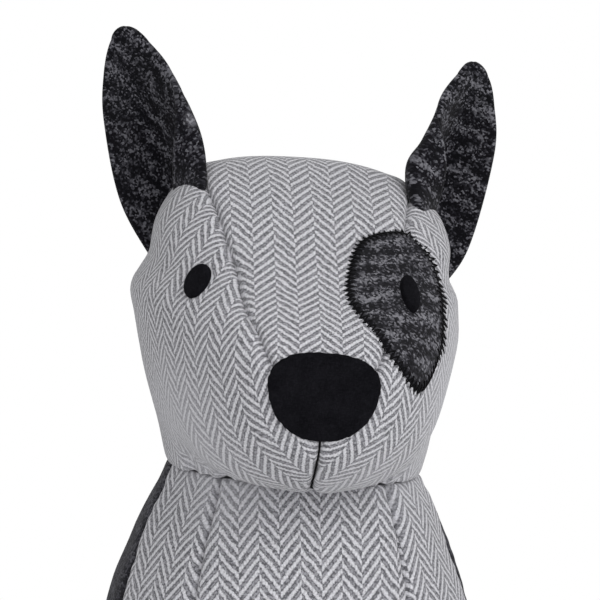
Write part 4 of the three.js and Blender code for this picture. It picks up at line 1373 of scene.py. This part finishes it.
# %% [markdown]
# The patch is a leaf of dark marl. It could be painted on the tweed, but it is a cloth of its own, with an
# edge that stands up a little. So it is cut and laid as the eyes are, and a smooth closed curve through
# twelve points gives its outline.

# %% The patch
PATCH_WIDTH = 37.4
PATCH_HEIGHT = 55.5
PATCH_LEAF = np.array([
    [0, 0.5], [0.35, 0.53], [0.5, 0.44], [0.57, 0.22], [0.48, 0], [0.35, -0.22],
    [0.12, -0.42], [-0.08, -0.46], [-0.3, -0.35], [-0.42, -0.1], [-0.43, 0.1], [-0.25, 0.32],
]) * [PATCH_WIDTH, PATCH_HEIGHT]
PATCH_ROUNDING = 0.06


def closed_curve(corners, count):
    """Points at even lengths along a smooth closed curve through the corners."""
    wrapped = np.vstack([corners[-3:], corners, corners[:4]])
    fine = smooth_through(wrapped, 3 + np.linspace(0, len(corners), 4001))
    length = np.concatenate([[0], np.cumsum(np.linalg.norm(np.diff(fine, axis=0), axis=1))])
    at = np.linspace(0, length[-1], count + 1)[:-1]
    points = np.stack([np.interp(at, length, fine[:, 0]), np.interp(at, length, fine[:, 1])], axis=-1)
    return points, length[-1]


patch_plane = plane_on_head(25.4, 61.2, 0, (4.3, 0.7))
leaf_outline, leaf_round = closed_curve(PATCH_LEAF, 180)
patch = cut_piece("marl_patch", leaf_outline[::-1], patch_plane, CLOTH, BEDDED, patch_marl, PATCH_ROUNDING)
print("patch:", round(leaf_round), "mm round its edge")

# %% [markdown]
# A black zigzag stitch holds the patch down. It could be drawn into the material, but close up it would be
# flat. So it is one thread that runs round the patch's edge: each stroke starts just outside on the pale
# tweed and ends a few millimetres in on the patch.

# %% The zigzag stitch
# The zigzag's pitch and its reach in and out from the edge, in mm; and how much longer it is at the back
STITCH_PITCH = 2.0
STITCH_IN = 1.8
STITCH_OUT = 1.2
LONGER_BEHIND = 2.0
POINTS_IN_STROKE = 8
THREAD_RADIUS = 0.28
THREAD_SIDES = 6


def thread_along(name, path, out, radius, closed):
    """A tube of thread: at each point of the path a ring, square to the path, with its top along out."""
    if closed:
        heading = np.roll(path, -1, axis=0) - np.roll(path, 1, axis=0)
    else:
        heading = np.gradient(path, axis=0)
    side = np.cross(heading, out)
    side /= np.linalg.norm(side, axis=-1, keepdims=True)
    above = np.cross(side, heading)
    above /= np.linalg.norm(above, axis=-1, keepdims=True)
    turn = around(THREAD_SIDES)
    ring = side[:, None] * np.cos(turn)[None, :, None] + above[:, None] * np.sin(turn)[None, :, None]
    points = (path[:, None] + radius * ring).reshape(-1, 3)
    index, _ = quads(len(path) + closed, THREAD_SIDES, True)
    faces = (index % len(points)).tolist()
    if not closed:
        faces += lids(len(path), THREAD_SIDES)
    piece = mesh_piece(name, points, faces, None, thread)
    facing_out(piece)
    return piece


def zigzag_stitch():
    """Across the edge by a triangle wave: in by STITCH_IN, out by STITCH_OUT, once for each STITCH_PITCH."""
    strokes = int(round(leaf_round / STITCH_PITCH))
    count = strokes * POINTS_IN_STROKE
    edge, _ = closed_curve(PATCH_LEAF, count)
    heading = np.roll(edge, -1, axis=0) - np.roll(edge, 1, axis=0)
    inward = np.stack([heading[:, 1], -heading[:, 0]], axis=-1)
    inward /= np.linalg.norm(inward, axis=-1, keepdims=True)
    inward *= np.sign(np.sum(-edge * inward, axis=-1).mean())
    wave = np.abs(2 * ((np.arange(count) / POINTS_IN_STROKE) % 1) - 1)
    uneven = np.repeat(chance.uniform(0.75, 1.1, strokes), POINTS_IN_STROKE)
    out_by = STITCH_OUT * (1 + LONGER_BEHIND * np.maximum(-inward[:, 0], 0))
    depth = (wave * (STITCH_IN + out_by) - out_by) * uneven
    flat = edge + inward * depth[:, None]
    ring, angle, middle, across, up, normal = patch_plane
    ring, angle = np.full(count, ring), np.full(count, angle)
    for part in np.linspace(0.1, 1, 12):
        start = middle + part * (flat[:, :1] * across + flat[:, 1:] * up)
        ring, angle = meet_head(start, normal, ring, angle)
    skin, out = head_point(ring, angle), normals_of(head_point, ring, angle)
    lift = BEDDED + (CLOTH + 0.05) / (1 + np.exp(-(depth - 0.1) * 6))
    path = head_in_place(skin + out * (lift + THREAD_RADIUS * 0.6)[:, None])
    return thread_along("patch_stitch", path, turned_with_head(out), THREAD_RADIUS, True)


stitch = zigzag_stitch()
print("zigzag:", round(leaf_round / STITCH_PITCH), "strokes")

# %% [markdown]
# Below the nose the two sides of the head meet in the chin seam, and its dark thread shows between them. A
# dark line in the material would miss the seam's valley, so this is a thread too, laid along the seam's
# own angle.

# %% The chin seam's thread
CHIN_RADIUS = 0.3
# Rings of the thread: its start as a share of the nose's edge, and its end at the throat
CHIN_FROM, CHIN_TO = 0.97, 7.6
# How far above the valley's floor the thread lies, in mm; its sway as an angle, and the waves of the sway
CHIN_ABOVE_FLOOR = 0.75
CHIN_SWAY = 0.005
CHIN_WAVES = [9.0, 14.0, 23.0]


def chin_thread():
    """Along the chin seam's angle from under the nose to the throat, in its valley, with a small sway."""
    ring = np.linspace(nose_reach[len(nose_reach) // 2] * CHIN_FROM, CHIN_TO, 160)
    angle = chin_seam(ring) + CHIN_SWAY * puckers(ring * 20, CHIN_WAVES)
    skin, out = head_point(ring, angle), normals_of(head_point, ring, angle)
    path = head_in_place(skin - out * (SEAM_DIP - CHIN_ABOVE_FLOOR))
    return thread_along("chin_thread", path, turned_with_head(out), CHIN_RADIUS, False)


chin = chin_thread()
print("chin thread:", round(chin.dimensions[2] * 1000), "mm from top to bottom")

# %% [markdown]
# The base is a flat round of the dark cloth, sewn to the hem. A plain disc would show a hard edge, so this
# one's edge rolls up a little into the seam. It is made of circles, as the nose is.

# %% The base
BASE_CLOTH = 1.2
BASE_ROUNDING = 0.02


def base_round():
    """Circles out to the hem, flat below, and rounded over by a quarter circle at the edge."""
    turn = around(144)
    hem = body_point(np.zeros_like(turn), turn)
    share = np.concatenate([np.linspace(0.05, 0.96, 14), np.linspace(0.97, 1, 8)])
    flat = hem[None, :, :2] * share[:, None, None]
    top = np.insert(flat, 2, BASE_CLOTH, axis=-1)
    below = np.insert(flat, 2, 0.0, axis=-1)
    thick = BASE_CLOTH - BEDDED
    below[..., 2] = thick - felt_rise(share, thick, BASE_ROUNDING)[:, None]
    return laid_piece("base", top, below, flat, back_marl)


base = base_round()
print("base:", [round(size * 1000) for size in base.dimensions], "mm")

# %% [markdown]
# Now every piece rides on the one body, and the CAD solids that it stands for are hidden. For each piece
# that was cut flat, the size that its cloth map gives is printed. The bag of sand lies inside, so its CAD
# solid stays, in calico.

# %% The size that a piece was cut to
def cut_of(piece):
    """Width, length and area that a two-layer piece was cut to, in metres, from its cloth map.

    The area is half the sum over its faces of |sum of x y' - x' y| / 2, with x' y' of the next corner."""
    mesh = piece.data
    places = np.empty(len(mesh.loops) * 2)
    mesh.uv_layers[CLOTH_MAP].data.foreach_get("uv", places)
    places = places.reshape(-1, 2) * MAP_UNIT * MM
    starts, totals = np.empty(len(mesh.polygons), int), np.empty(len(mesh.polygons), int)
    mesh.polygons.foreach_get("loop_start", starts)
    mesh.polygons.foreach_get("loop_total", totals)
    after = np.arange(len(places)) + 1
    after[starts + totals - 1] = starts
    turned = places[:, 0] * places[after, 1] - places[after, 0] * places[:, 1]
    areas = np.abs(np.add.reduceat(turned, starts)) / 2
    used = places[np.repeat(areas > 1e-10, totals)]
    width, length = used.max(axis=0) - used.min(axis=0)
    return (float(width), float(length)), float(areas.sum() / 2)


print("the patch was cut", [round(side * 1000) for side in cut_of(patch)[0]], "mm wide and long")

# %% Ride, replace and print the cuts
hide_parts("head_top_gusset", "head_side_left", "head_side_right", "head_filling")
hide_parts("body_chest_panel", "body_side_left", "body_side_right", "body_filling")
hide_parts("body_back_panel")
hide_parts("ear_left_lining", "ear_left_back")
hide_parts("ear_right_lining", "ear_right_back")
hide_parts("nose")
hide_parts("eye_left")
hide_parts("eye_right")
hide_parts("eye_patch")
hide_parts("base_panel")
slots = {
    "herringbone_tweed": [head, body],
    "dark_marl": [back, left_ear, right_ear, patch, base],
    "black_felt": [nose, left_eye, right_eye, stitch, chin],
}
for slot, pieces in slots.items():
    for piece in pieces:
        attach(piece, "root")
cut_pieces = [
    (back, "stretched", body),
    (base, "stretched", body),
    (left_ear, "folded", head),
    (right_ear, "folded", head),
    (patch, "laid", head),
    (nose, "laid", head),
]
for piece, held, under in cut_pieces:
    size, area = cut_of(piece)
    sides = [round(side, 3) for side in size]
    print(piece.name, "was cut to", sides, "m, with", round(area * 1e4, 1), "cm2 a layer")
bag = frame["nodes"]["weight_bag"]
bag.data.materials.clear()
bag.data.materials.append(calico)

# %% [markdown]
# The dog stands on white paper under soft boxes. Paper that is lit evenly would still come out grey, so
# the floor turns plain white away from the dog, and so does the world, but only for rays that are seen
# directly. The light that falls on the dog stays what the lamps and a dim sky give, and its shadow stays
# on the paper.

# %% Floor and backdrop
FLOOR_HALF = 60
WHITE = (1, 1, 1, 1)
PAPER = (0.82, 0.82, 0.82, 1)
# Metres from the dog between which the paper turns plain white, and the strength of the sky
FADE_FROM, FADE_TO = 0.12, 0.42
SKY = 0.6

floor_mesh = bpy.data.meshes.new("floor")
floor_corners = [(x * FLOOR_HALF, y * FLOOR_HALF, 0) for x, y in ((-1, -1), (1, -1), (1, 1), (-1, 1))]
floor_mesh.from_pydata(floor_corners, [], [(0, 1, 2, 3)])
floor = bpy.data.objects.new("floor", floor_mesh)
bpy.context.scene.collection.objects.link(floor)

paper = Recipe("white_paper")
away = paper.node("ShaderNodeVectorMath", {"operation": "LENGTH"}, Vector=paper.place()).outputs["Value"]
share = paper.sum("MULTIPLY", paper.between(away, FADE_FROM, FADE_TO), paper.seen_directly())
glow = paper.node("ShaderNodeEmission", Color=WHITE, Strength=1.0)
floor_mesh.materials.append(paper.coat(Base_Color=PAPER, Roughness=0.9))
paper.show("Material Output", share, paper.shader, glow)

sky = Recipe("studio", bpy.data.worlds)
bpy.context.scene.world = sky.made
dim = sky.tree.nodes["Background"]
dim.inputs["Color"].default_value = WHITE
dim.inputs["Strength"].default_value = SKY
bright = sky.node("ShaderNodeBackground", Color=WHITE, Strength=1.0)
sky.show("World Output", sky.seen_directly(), dim, bright)
print("floor and world are plain white from", FADE_TO, "m on")

# %% [markdown]
# Three square soft boxes light the dog: the main one high on the right, a weaker one on the left, and a
# low one that lifts the shadow under the chin. One large ring light would be simpler, but the nose and the
# folds of the ears would lose their shading.


# %% Lights
def area_light(name, place, size, watts):
    """A square soft box that looks at the picture's middle: it tips by the arc tangent of out over up."""
    data = bpy.data.lights.new(name, "AREA")
    data.size = size
    data.energy = watts
    lamp = bpy.data.objects.new(name, data)
    lamp.location = place
    x, y, z = np.array(place) - CAMERA_TARGET
    lamp.rotation_euler = (math.atan2(math.hypot(x, y), z), 0, math.atan2(x, -y))
    bpy.context.scene.collection.objects.link(lamp)
    print(name, "light:", watts, "W from", place)


area_light("key", (0.75, -1.3, 1.15), 1.1, 13.5)
area_light("fill", (-0.9, -1.4, 0.55), 1.2, 5.5)
area_light("low_fill", (0.45, -1.4, 0.06), 0.9, 4.5)
